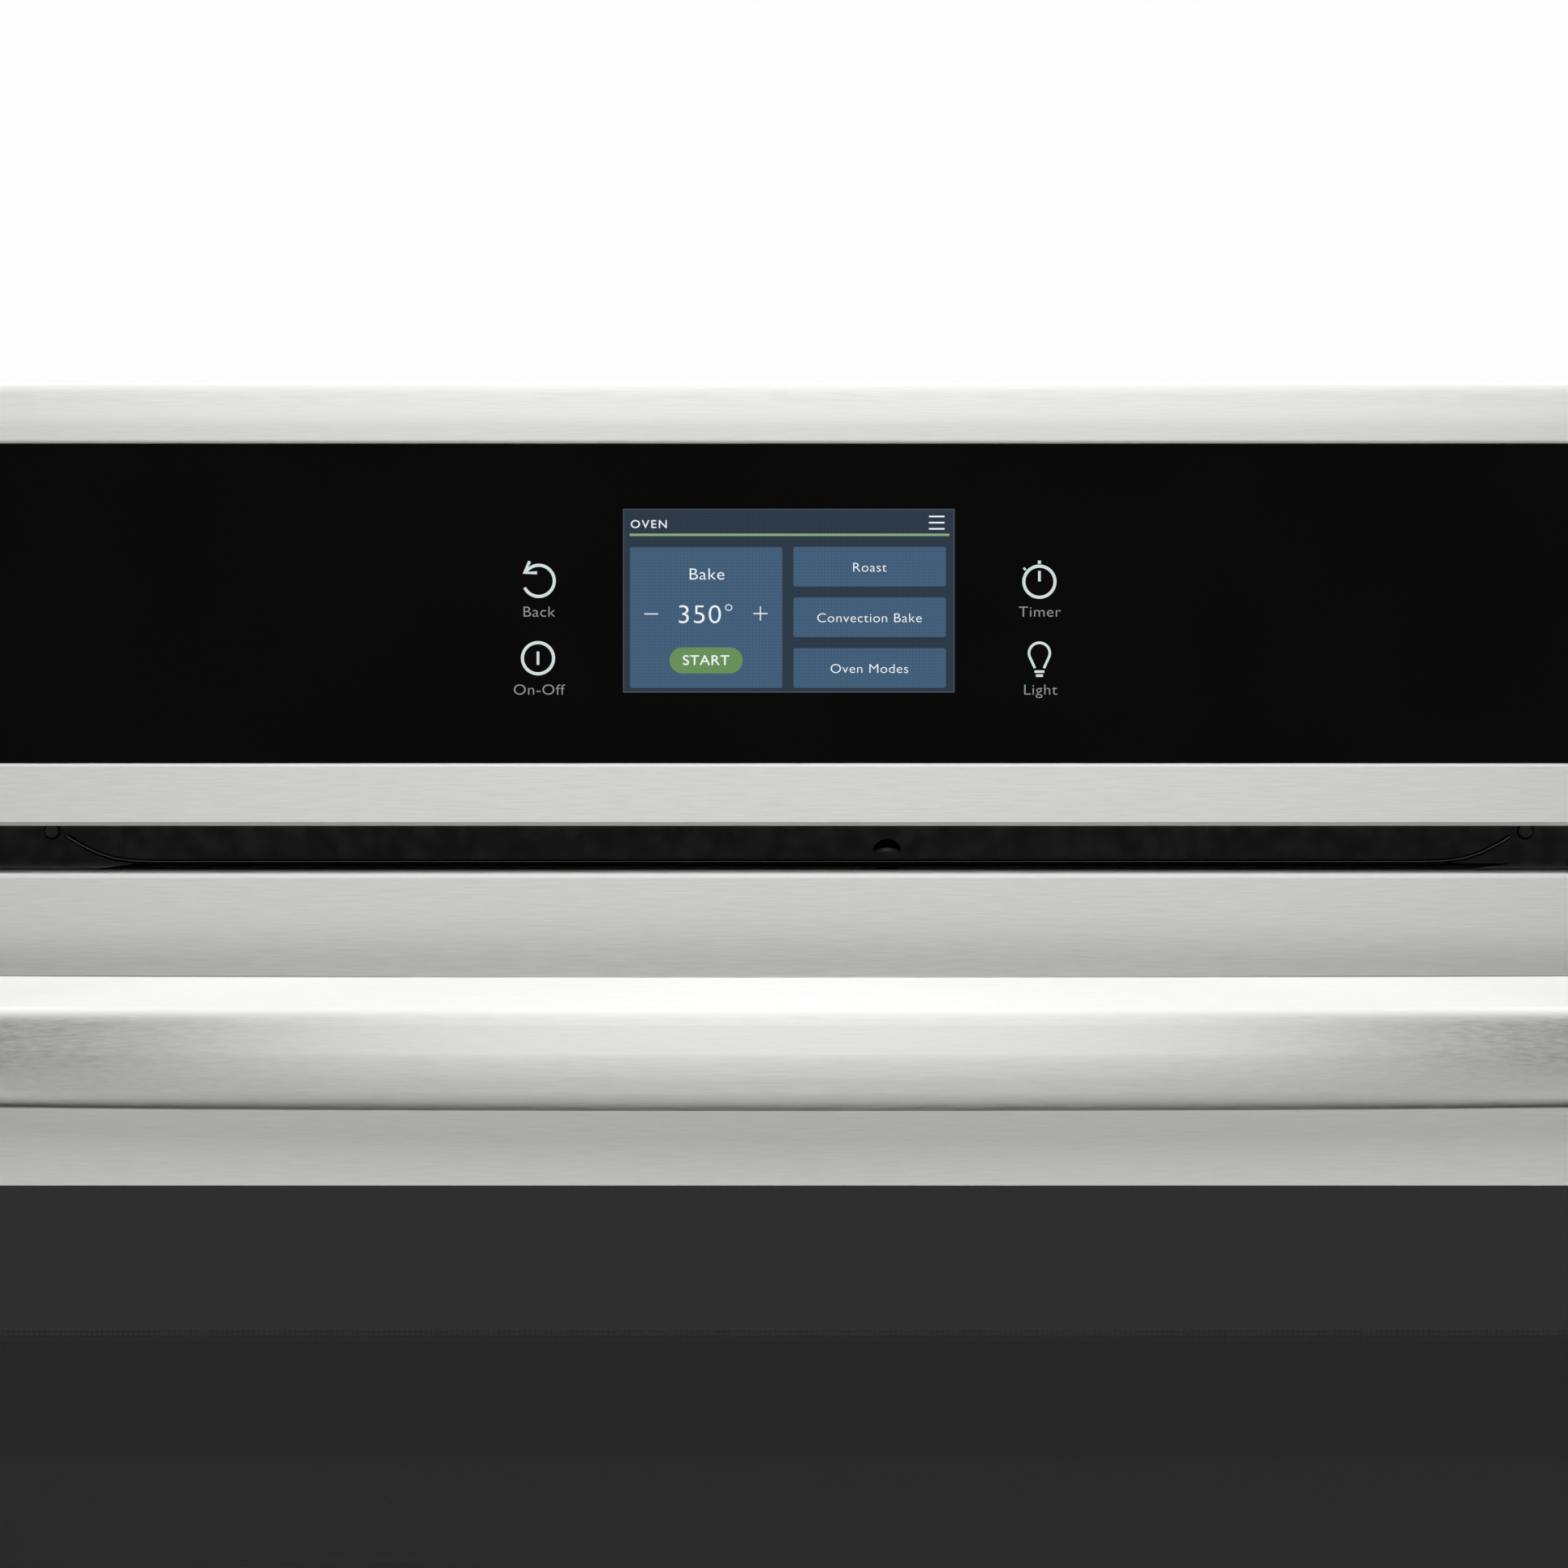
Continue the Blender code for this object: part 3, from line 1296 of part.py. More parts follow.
def glass_pack():
    outer = block(
        "door_glass",
        (-WINDOW_HALF - PANE_OVERLAP, PANE_FRONT, WINDOW_LOW - PANE_OVERLAP),
        (WINDOW_HALF + PANE_OVERLAP, PANE_BACK, WINDOW_HIGH + PANE_OVERLAP),
    )
    finish(outer, "black_glass")
    wall = 0.0008
    tunnel = block(
        "glass_frame",
        (-TUNNEL_HALF, TUNNEL_FRONT, TUNNEL_LOW),
        (TUNNEL_HALF, TUNNEL_BACK, TUNNEL_HIGH),
    )
    flange = block(
        "tunnel_flange",
        (-WINDOW_HALF - PANE_OVERLAP, TUNNEL_FRONT, WINDOW_LOW - PANE_OVERLAP),
        (WINDOW_HALF + PANE_OVERLAP, TUNNEL_FRONT + wall, WINDOW_HIGH + PANE_OVERLAP),
    )
    hollow = block(
        "tunnel_hollow",
        (-TUNNEL_HALF + wall, -0.1, TUNNEL_LOW + wall),
        (TUNNEL_HALF - wall, 0.1, TUNNEL_HIGH - wall),
    )
    join(tunnel, flange)
    cut(tunnel, hollow)
    finish(tunnel, "black_paint")
    middle = (TUNNEL_FRONT + TUNNEL_BACK) / 2
    edge = wall + GAP
    pane = block(
        "middle_glass",
        (-TUNNEL_HALF + edge, middle - 0.0015, TUNNEL_LOW + edge),
        (TUNNEL_HALF - edge, middle + 0.0015, TUNNEL_HIGH - edge),
    )
    finish(pane, "clear_glass")
    inner = block(
        "inner_glass",
        (-TUNNEL_HALF, INNER_PANE_FRONT, TUNNEL_LOW),
        (TUNNEL_HALF, INNER_PANE_BACK, TUNNEL_HIGH),
    )
    finish(inner, "clear_glass")
    return [outer, tunnel, pane, inner]


def door_wool():
    front, back = TUNNEL_FRONT + 0.0015, SKIN_BACK - 0.0005
    wool = block(
        "door_insulation",
        (-HALF_DOOR + SHEET + 0.004, front, DOOR_BOTTOM + SHEET + 0.004),
        (HALF_DOOR - SHEET - 0.004, back, DOOR_TOP - SHEET - 0.004),
    )
    core = block(
        "door_wool_core",
        (-TUNNEL_HALF - GAP, -0.1, TUNNEL_LOW - GAP),
        (TUNNEL_HALF + GAP, 0.1, TUNNEL_HIGH + GAP),
    )
    pocket = block(
        "door_wool_latch",
        (LATCH_X - 0.036, -0.1, LATCH_Z - 0.009),
        (LATCH_X + 0.018, 0.1, LATCH_Z + 0.009),
    )
    cut(wool, core, pocket)
    for side, sign in each_side():
        x = sign * HINGE_X
        half = HINGE_CHANNEL_HALF + 0.0015
        slot = block(
            f"door_wool_hinge_{side}",
            (x - half, -0.1, DOOR_BOTTOM),
            (x + half, 0.1, HINGE_Z + HINGE_CHANNEL_LENGTH + 0.002),
        )
        cut(wool, slot)
    return finish(wool, "glass_wool")


def hinges():
    bodies = []
    for side, sign in each_side():
        x, half, wall = sign * HINGE_X, HINGE_CHANNEL_HALF, 0.0015
        front = DOOR_FRONT + SHEET + 0.0015
        top = HINGE_Z + HINGE_CHANNEL_LENGTH
        low = DOOR_BOTTOM + SHEET + 0.003
        channel = block(
            f"hinge_body_{side}", (x - half, front, low), (x + half, SKIN_BACK - 0.002, top)
        )
        hollow = block(
            f"hinge_hollow_{side}",
            (x - half + wall, front + wall, low - 0.01),
            (x + half - wall, 0.1, top - wall),
        )
        cut(channel, hollow)
        start, end = (x - half, HINGE_Y, HINGE_Z), (x + half, HINGE_Y, HINGE_Z)
        pin = rod(f"hinge_pin_{side}", start, end, PIN_RADIUS, 16)
        join(channel, pin)
        bodies.append(finish(channel, "steel"))
        arm_x = HINGE_ARM_HALF
        arm = block(
            f"hinge_arm_{side}",
            (x - arm_x, HINGE_Y, HINGE_Z - HINGE_ARM_HEIGHT),
            (x + arm_x, HINGE_CLAW_LENGTH, HINGE_Z + HINGE_ARM_HEIGHT),
        )
        eye = rod(
            f"hinge_eye_{side}",
            (x - arm_x, HINGE_Y, HINGE_Z),
            (x + arm_x, HINGE_Y, HINGE_Z),
            HINGE_ARM_HEIGHT,
            20,
        )
        bore = rod(
            f"hinge_bore_{side}",
            (x - 0.02, HINGE_Y, HINGE_Z),
            (x + 0.02, HINGE_Y, HINGE_Z),
            PIN_RADIUS + 0.0002,
            20,
        )
        join(arm, eye)
        cut(arm, bore)
        finish(arm, "steel")
    return bodies


def handle_section(margin):
    """The bar's section as (depth behind its front, height from its middle)."""
    half, deep = HANDLE_HEIGHT / 2, HANDLE_THICKNESS
    facet = 0.0105
    low_arc = [
        (deep * 0.5 - deep * 0.5 * math.sin(turn), -half + facet * (1 - math.cos(turn)))
        for turn in (math.radians(a) for a in (0, 30, 60, 90))
    ]
    points = [(deep, half - 0.002), (deep - 0.003, half), (0.0040, half - facet)]
    points += [(0.0012, half - facet - 0.0025), (0, half - facet - 0.006)]
    points += low_arc[::-1] + [(deep, -half + 0.006)]
    middle = Vector((deep / 2, 0))
    return [Vector(p) + (Vector(p) - middle).normalized() * margin for p in points]


def handle_solid(name, margin, steps):
    half_angle = math.asin(HANDLE_HALF / BOW_RADIUS)
    centre_y = HANDLE_FRONT + BOW_RADIUS
    bm = bmesh.new()
    verts = [
        bm.verts.new((0, HANDLE_FRONT + depth, HANDLE_MIDDLE + height))
        for depth, height in handle_section(margin)
    ]
    face = bm.faces.new(verts)
    centre = (0, centre_y, 0)
    bmesh.ops.rotate(
        bm, cent=centre, matrix=Matrix.Rotation(-half_angle, 3, "Z"), verts=bm.verts
    )
    bmesh.ops.spin(
        bm,
        geom=[face] + list(face.edges) + verts,
        cent=centre,
        axis=(0, 0, 1),
        angle=2 * half_angle,
        steps=steps,
    )
    bmesh.ops.recalc_face_normals(bm, faces=bm.faces)
    return new_object(name, bm)


def handle():
    bar = handle_solid("handle_bar", 0, 16)
    smooth(bar, math.radians(25))
    pieces = [finish(bar, "stainless")]
    for side, sign in each_side():
        x = sign * (HALF_DOOR - POST_INSET)
        post = rounded_block(
            f"handle_post_{side}",
            (x - POST_WIDTH / 2, HANDLE_FRONT + HANDLE_THICKNESS / 2,
             HANDLE_MIDDLE - POST_HEIGHT / 2),
            (x + POST_WIDTH / 2, DOOR_FRONT - GAP, HANDLE_MIDDLE + POST_HEIGHT / 2),
            0.005,
            axis=1,
        )
        cut(post, handle_solid(f"post_cut_{side}", GAP * 1.5, 16))
        beyond = block(
            f"post_front_{side}",
            (x - 0.05, HANDLE_FRONT - 0.01, HANDLE_MIDDLE - 0.05),
            (x + 0.05, bar_front(x) + HANDLE_THICKNESS * 0.75, HANDLE_MIDDLE + 0.05),
        )
        cut(post, beyond)
        pieces.append(finish(post, "stainless"))
    return pieces


def bar_front(x):
    return HANDLE_FRONT + BOW_RADIUS - math.sqrt(BOW_RADIUS**2 - x**2)


def door():
    pieces = [door_skin(), door_liner(), door_wool()]
    pieces += glass_pack() + hinges() + handle()
    attach(pivot("door_axis", (0, HINGE_Y, HINGE_Z)), *pieces)


def main():
    global PARTS, CUTTERS
    for obj in list(bpy.data.objects):
        bpy.data.objects.remove(obj)
    PARTS, CUTTERS = new_collection("wall_oven"), new_collection("cutters")
    chassis()
    bottom_trim()
    front_frame()
    cavity()
    blanket()
    gasket()
    rack_guides()
    for name, level in (("rack_lower", 1), ("rack_upper", 3)):
        home = pivot(f"{name}_home", (0, RACK_FRONT, rail_height(level)))
        attach(home, rack(name, level))
    elements()
    convection()
    lamp()
    control_tray()
    blower()
    latch()
    control_panel()
    door()


main()
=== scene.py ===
"""Built-in electric wall oven: brushed steel fascia and door, touch-glass control
panel with a lit screen, enamelled cavity with racks, elements and fan.

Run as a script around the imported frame. Sizes are in metres, and those that are
said to be in mm are multiplied by MM where they are used.
"""

import json
import math

import bmesh
import bpy
from mathutils import Matrix, Vector


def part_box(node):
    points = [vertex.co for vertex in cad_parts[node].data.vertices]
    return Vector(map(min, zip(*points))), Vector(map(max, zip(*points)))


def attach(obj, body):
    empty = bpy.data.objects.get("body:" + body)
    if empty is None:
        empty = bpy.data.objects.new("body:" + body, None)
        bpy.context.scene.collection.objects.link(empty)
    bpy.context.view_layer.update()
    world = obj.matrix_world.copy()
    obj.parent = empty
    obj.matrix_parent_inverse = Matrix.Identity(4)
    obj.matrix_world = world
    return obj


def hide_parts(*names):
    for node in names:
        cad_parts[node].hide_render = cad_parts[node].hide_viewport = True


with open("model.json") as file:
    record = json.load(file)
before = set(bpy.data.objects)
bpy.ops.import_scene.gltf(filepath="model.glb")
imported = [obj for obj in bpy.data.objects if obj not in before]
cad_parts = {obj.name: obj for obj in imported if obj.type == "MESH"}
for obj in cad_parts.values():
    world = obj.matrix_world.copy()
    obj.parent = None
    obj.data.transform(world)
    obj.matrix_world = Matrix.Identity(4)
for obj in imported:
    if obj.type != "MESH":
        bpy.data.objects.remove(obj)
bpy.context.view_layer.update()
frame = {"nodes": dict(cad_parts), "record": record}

bl_info = {
    "name": "Wall oven",
    "version": (1, 0, 0),
    "blender": (4, 5, 0),
    "location": "View3D > Sidebar > Wall Oven",
    "description": "Finishes and detail for a built-in electric wall oven",
    "category": "Object",
}

MM = 0.001
LIFT = 0.05 * MM  # one printed or lit layer above the next
WELD = 0.002 * MM  # corners closer than this are one corner
LEVEL = math.radians(0.5)  # faces that turn less than this are one flat face
FOLD = math.radians(40)  # edges that turn more than this are rounded
CREASE = math.radians(35)  # edges that turn more than this are shaded sharp


# ------------------------------------------------------------------ small tools
def linear(code):
    """An sRGB hex colour as linear RGBA; a setting's colour is linear already."""
    if not isinstance(code, str):
        return tuple(code)
    parts = [int(code[i : i + 2], 16) / 255 for i in (1, 3, 5)]
    curve = [c / 12.92 if c <= 0.04045 else ((c + 0.055) / 1.055) ** 2.4 for c in parts]
    return (*curve, 1.0)


def add(tree, kind, links=None, **settings):
    """Adds a node; settings go on the node, links on its input sockets."""
    made = tree.nodes.new(kind)
    for name, value in settings.items():
        setattr(made, name, value)
    for name, value in (links or {}).items():
        if isinstance(value, bpy.types.NodeSocket):
            tree.links.new(value, made.inputs[name])
        else:
            made.inputs[name].default_value = value
    return made


def place_on(obj, body, slot, *nodes):
    """Rides a finished piece on its body and hides the CAD nodes that it stands for."""
    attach(obj, body)
    if nodes:
        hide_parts(*nodes)


def finished(name, bm, material):
    """Turns a bmesh into an object at the origin, smooth but for its creases."""
    mesh = bpy.data.meshes.new(name)
    bm.to_mesh(mesh)
    bm.free()
    mesh.polygons.foreach_set("use_smooth", [True] * len(mesh.polygons))
    mesh.set_sharp_from_angle(angle=CREASE)
    mesh.materials.append(material)
    obj = bpy.data.objects.new(name, mesh)
    bpy.context.scene.collection.objects.link(obj)
    level = obj.modifiers.new("flat faces stay flat", "WEIGHTED_NORMAL")
    level.keep_sharp = True
    return obj


def merged_copy(node):
    """A bmesh of a CAD node with its loose triangles joined into flat faces."""
    bm = bmesh.new()
    bm.from_mesh(frame["nodes"][node].data)
    bmesh.ops.remove_doubles(bm, verts=bm.verts, dist=WELD)
    bmesh.ops.dissolve_limit(bm, angle_limit=LEVEL, verts=bm.verts, edges=bm.edges)
    return bm


def round_off(bm, parts, radius, segments, affect="EDGES", clamp_overlap=False):
    """Rounds some edges, or some corners of a flat face."""
    bmesh.ops.bevel(
        bm,
        geom=parts,
        offset=radius,
        offset_type="OFFSET",
        affect=affect,
        segments=segments,
        profile=0.5,
        material=-1,
        clamp_overlap=clamp_overlap,
    )


def soften(bm, radius, segments=2):
    """Rounds every folded or cut edge."""
    edges = [
        e for e in bm.edges if len(e.link_faces) == 2 and e.calc_face_angle(0) > FOLD
    ]
    round_off(bm, edges, radius, segments, clamp_overlap=True)


def box(bm, low, high):
    """An axis-aligned block between two corners; returns its vertices."""
    low, high = Vector(low), Vector(high)
    size = Matrix.Diagonal((*(high - low), 1))
    made = bmesh.ops.create_cube(
        bm, size=1, matrix=Matrix.Translation((low + high) / 2) @ size
    )
    return made["verts"]


# Which way a disc grows from its foot, as a turn from straight up.
GROWS = {
    "up": Matrix.Identity(4),
    "forward": Matrix.Rotation(math.radians(90), 4, "X"),
    "backward": Matrix.Rotation(math.radians(-90), 4, "X"),
    "left": Matrix.Rotation(math.radians(-90), 4, "Y"),
    "right": Matrix.Rotation(math.radians(90), 4, "Y"),
}


def disc(bm, foot, radius, height, grows, sides=32, top=None):
    """A short round or many-sided bar; top is the radius at its free end."""
    bmesh.ops.create_cone(
        bm,
        cap_ends=True,
        segments=sides,
        radius1=radius,
        radius2=radius if top is None else top,
        depth=height,
        matrix=Matrix.Translation(foot)
        @ GROWS[grows]
        @ Matrix.Translation((0, 0, height / 2)),
    )


def bar_curve(points, radius, closed=False, rounding=2):
    """A curve through points in metres, as round as a wire."""
    curve = bpy.data.curves.new("wire", "CURVE")
    curve.dimensions = "3D"
    curve.bevel_depth = radius
    curve.bevel_resolution = rounding
    curve.use_fill_caps = True
    line = curve.splines.new("POLY")
    line.points.add(len(points) - 1)
    for point, place in zip(line.points, points):
        point.co = (*place, 1)
    line.use_cyclic_u = closed
    return curve


def lay_in(bm, curve, shape=None):
    """Turns a curve or text into mesh, shapes it and adds it to the bmesh."""
    maker = bpy.data.objects.new(curve.name, curve)
    bpy.context.scene.collection.objects.link(maker)
    bpy.context.view_layer.update()
    mesh = bpy.data.meshes.new_from_object(
        maker.evaluated_get(bpy.context.evaluated_depsgraph_get())
    )
    mesh.transform(shape or Matrix.Identity(4))
    bm.from_mesh(mesh)
    bpy.data.objects.remove(maker)
    bpy.data.curves.remove(curve)
    bpy.data.meshes.remove(mesh)


# -------------------------------------------------------------------- materials
NOISE_LOW, NOISE_HIGH = 0.3, 0.7  # nearly all of the noise lies between these


def grained(name, low, high, grain, rough, bump=0.0, **constants):
    """A surface whose colour, gloss and height follow one noise.

    Colours low and high, grain size in mm along each axis, roughness from and to,
    bump height in mm; the constants are values of the shader's own sockets.
    """
    made = bpy.data.materials.new(name)
    made.use_nodes = True
    tree = made.node_tree
    tree.nodes.clear()
    where = add(tree, "ShaderNodeTexCoord")
    scale = tuple(1 / (g * MM) for g in grain)
    mapped = add(
        tree, "ShaderNodeMapping", {"Vector": where.outputs["Object"], "Scale": scale}
    )
    noise = add(
        tree,
        "ShaderNodeTexNoise",
        {"Vector": mapped.outputs[0], "Scale": 1.0, "Detail": 2.0},
    )
    ramp = add(tree, "ShaderNodeValToRGB", {"Fac": noise.outputs["Fac"]})
    ramp.color_ramp.elements[0].position = NOISE_LOW
    ramp.color_ramp.elements[0].color = linear(low)
    ramp.color_ramp.elements[1].position = NOISE_HIGH
    ramp.color_ramp.elements[1].color = linear(high)
    gloss = add(
        tree,
        "ShaderNodeMapRange",
        {
            "Value": noise.outputs["Fac"],
            "From Min": NOISE_LOW,
            "From Max": NOISE_HIGH,
            "To Min": rough[0],
            "To Max": rough[1],
        },
    )
    links = {
        "Base Color": ramp.outputs["Color"],
        "Roughness": gloss.outputs["Result"],
        **constants,
    }
    if bump:
        height = add(
            tree,
            "ShaderNodeBump",
            {"Height": noise.outputs["Fac"], "Distance": bump * MM, "Strength": 1.0},
        )
        links["Normal"] = height.outputs["Normal"]
    shader = add(tree, "ShaderNodeBsdfPrincipled", links)
    add(tree, "ShaderNodeOutputMaterial", {"Surface": shader.outputs[0]})
    return made


def parts_of(material):
    """The tree, shader, mapped coordinates and colour ramp of a grained surface."""
    tree = material.node_tree
    kinds = {n.bl_idname: n for n in tree.nodes}
    return (
        tree,
        kinds["ShaderNodeBsdfPrincipled"],
        kinds["ShaderNodeTexCoord"].outputs["Object"],
        kinds["ShaderNodeValToRGB"],
    )


def brushed_stainless():
    # Ferritic stainless sheet brushed side to side: long thin streaks, and
    # highlights that spread up and down across them. Real lines are 0.1 mm apart
    # and up to 10 mm long; they are drawn 0.5 mm wide so that they show.
    return grained(
        "brushed stainless",
        "#d2d2d1",
        "#dededd",
        (11, 0.5, 0.5),
        (0.37, 0.46),
        bump=0.0009,
        Metallic=1.0,
        Anisotropic=0.72,
        **{"Anisotropic Rotation": 0.25},
    )


def galvanised_sheet():
    # Hot-dip galvanised steel: zinc crystals 8 to 14 mm across, each with its own
    # grey and gloss. Only a part of each crystal's own tone is let through.
    made = grained(
        "galvanised sheet", "#a9adaf", "#c6c9cb", (3, 3, 3), (0.34, 0.5), Metallic=1.0
    )
    tree, shader, where, ramp = parts_of(made)
    cells = add(
        tree,
        "ShaderNodeTexVoronoi",
        {"Vector": where, "Scale": 1 / (11 * MM), "Randomness": 1.0},
    )
    shade = add(tree, "ShaderNodeSeparateColor", {"Color": cells.outputs["Color"]})
    both = add(
        tree,
        "ShaderNodeMix",
        {0: 0.28, 2: 0.5, 3: shade.outputs["Red"]},
        data_type="FLOAT",
    )
    tree.links.new(both.outputs[0], ramp.inputs["Fac"])
    ramp.color_ramp.elements[0].position = 0.1
    ramp.color_ramp.elements[1].position = 0.95
    gloss = add(
        tree,
        "ShaderNodeMapRange",
        {"Value": shade.outputs["Green"], "To Min": 0.36, "To Max": 0.46},
    )
    tree.links.new(gloss.outputs["Result"], shader.inputs["Roughness"])
    return made


def speckled_enamel():
    # Cobalt ground-coat enamel fired on the cavity: glassy, with pale flecks under
    # a millimetre across and a faint orange-peel surface.
    made = grained(
        "cobalt cavity enamel",
        "#1b2a41",
        "#22344f",
        (6, 6, 6),
        (0.1, 0.16),
        bump=0.02,
        **{"Coat Weight": 0.5, "Coat Roughness": 0.06},
    )
    tree, shader, where, ramp = parts_of(made)
    cells = add(tree, "ShaderNodeTexVoronoi", {"Vector": where, "Scale": 1 / (3.2 * MM)})
    fleck = add(
        tree,
        "ShaderNodeMath",
        {0: cells.outputs["Distance"], 1: 0.16},
        operation="LESS_THAN",
    )
    blend = add(
        tree,
        "ShaderNodeMix",
        {0: fleck.outputs[0], 6: ramp.outputs["Color"], 7: linear("#9fb0c4")},
        data_type="RGBA",
    )
    tree.links.new(blend.outputs[2], shader.inputs["Base Color"])
    return made


WAVE_REPEAT = 0.314  # a wave texture of scale 1 repeats after this length


def woven_glass_seal():
    # Braided glass-fibre cord: strands 1.6 mm apart crossing at a slant, dull grey,
    # painted darker down in the grooves between strands and lighter on their crowns as
    # painted shade.
    made = grained(
        "braided seal cord", "#4d4d4b", "#73736f", (0.8, 0.8, 0.8), (0.75, 0.9), bump=0.1
    )
    tree, shader, where, ramp = parts_of(made)
    scale = WAVE_REPEAT / (1.6 * MM)
    heights = []
    for turn in (45, -45):
        mapped = add(
            tree,
            "ShaderNodeMapping",
            {"Vector": where, "Rotation": (0, math.radians(turn), 0)},
        )
        wave = add(
            tree,
            "ShaderNodeTexWave",
            {"Vector": mapped.outputs[0], "Scale": scale, "Distortion": 0.4},
        )
        heights.append(wave.outputs["Fac"])
    cross = add(
        tree, "ShaderNodeMath", {0: heights[0], 1: heights[1]}, operation="MAXIMUM"
    )
    # The weave's height also sets the colour: painted shade in the grooves between
    # strands, lighter crowns.
    tree.links.new(cross.outputs[0], ramp.inputs["Fac"])
    bump = add(
        tree,
        "ShaderNodeBump",
        {"Height": cross.outputs[0], "Distance": 0.5 * MM, "Strength": 1.0},
    )
    tree.links.new(bump.outputs["Normal"], shader.inputs["Normal"])
    return made


def circuit_laminate():
    # Green solder mask over copper in fields 6 by 3 mm on glass-epoxy board.
    made = grained(
        "circuit laminate", "#0f3d22", "#14522d", (1.5, 1.5, 1.5), (0.3, 0.42)
    )
    tree, shader, where, _ = parts_of(made)
    tracks = add(
        tree,
        "ShaderNodeTexBrick",
        {
            "Vector": where,
            "Scale": 1 / (12 * MM),
            "Color1": linear("#14522d"),
            "Color2": linear("#1a6136"),
            "Mortar": linear("#2c7a45"),
            "Mortar Size": 0.03,
        },
    )
    tree.links.new(tracks.outputs["Color"], shader.inputs["Base Color"])
    return made


def window_glass(low, high, band):
    """Door glass with a printed border; low and high are the glass's corners."""
    # Float glass, 4 mm, with black ceramic print fired on round its edge; the
    # print breaks into dots 1.5 mm apart, over 9 mm, before the tinted centre.
    made = grained(
        "printed door glass",
        "#020203",
        "#040405",
        (30, 30, 30),
        (0.03, 0.06),
        **{"Specular IOR Level": 0.3},
    )
    tree, shader, where, _ = parts_of(made)
    centre = (low + high) / 2
    half = (high - low) / 2
    moved = add(
        tree, "ShaderNodeMapping", {"Vector": where, "Location": tuple(-centre)}
    )
    axes = add(tree, "ShaderNodeSeparateXYZ", {"Vector": moved.outputs[0]})
    beyond = []
    for axis, reach in (("X", half.x - band), ("Z", half.z - band)):
        away = add(tree, "ShaderNodeMath", {0: axes.outputs[axis]}, operation="ABSOLUTE")
        past = add(
            tree, "ShaderNodeMath", {0: away.outputs[0], 1: reach}, operation="SUBTRACT"
        )
        beyond.append(past.outputs[0])
    edge = add(
        tree, "ShaderNodeMath", {0: beyond[0], 1: beyond[1]}, operation="MAXIMUM"
    )
    dots = add(
        tree,
        "ShaderNodeTexVoronoi",
        {"Vector": where, "Scale": 1 / (1.5 * MM), "Randomness": 0.0},
    )
    fade = add(
        tree,
        "ShaderNodeMapRange",
        {
            "Value": edge.outputs[0],
            "From Min": -9 * MM,
            "From Max": 0.0,
            "To Min": 0.0,
            "To Max": 0.9,
        },
    )
    printed = add(
        tree,
        "ShaderNodeMath",
        {0: dots.outputs["Distance"], 1: fade.outputs["Result"]},
        operation="LESS_THAN",
    )
    clear = add(
        tree,
        "ShaderNodeBsdfPrincipled",
        {
            "Base Color": linear("#040506"),
            "Roughness": 0.02,
            "IOR": 1.5,
            "Specular IOR Level": 0.3,
            "Alpha": 0.6,
        },
    )
    mixed = add(
        tree,
        "ShaderNodeMixShader",
        {0: printed.outputs[0], 1: clear.outputs[0], 2: shader.outputs[0]},
    )
    output = next(n for n in tree.nodes if n.bl_idname == "ShaderNodeOutputMaterial")
    tree.links.new(mixed.outputs[0], output.inputs["Surface"])
    return made


def lit(name, colour, cell=0.0):
    """A layer of the screen that glows in one colour; cell is its mesh in mm."""
    # Backlit liquid-crystal picture behind smooth glass. Its rows and columns are
    # drawn coarser than the real 0.1 mm, so that the fine mesh shows.
    made = grained(name, "#060708", "#0a0b0c", (20, 20, 20), (0.04, 0.07))
    tree, shader, where, _ = parts_of(made)
    if cell:
        mesh = add(
            tree,
            "ShaderNodeTexVoronoi",
            {"Vector": where, "Scale": 1 / (cell * MM), "Randomness": 0.0},
        )
        reach = mesh.outputs["Distance"]
        glow = add(
            tree,
            "ShaderNodeMapRange",
            {"Value": reach, "From Max": 0.7, "To Min": 1.1, "To Max": 0.8},
        )
        shade = add(
            tree,
            "ShaderNodeMix",
            {0: 1.0, 6: linear(colour), 7: glow.outputs["Result"]},
            data_type="RGBA",
            blend_type="MULTIPLY",
        )
        tree.links.new(shade.outputs[2], shader.inputs["Emission Color"])
    else:
        shader.inputs["Emission Color"].default_value = linear(colour)
    shader.inputs["Emission Strength"].default_value = 1.0
    return made


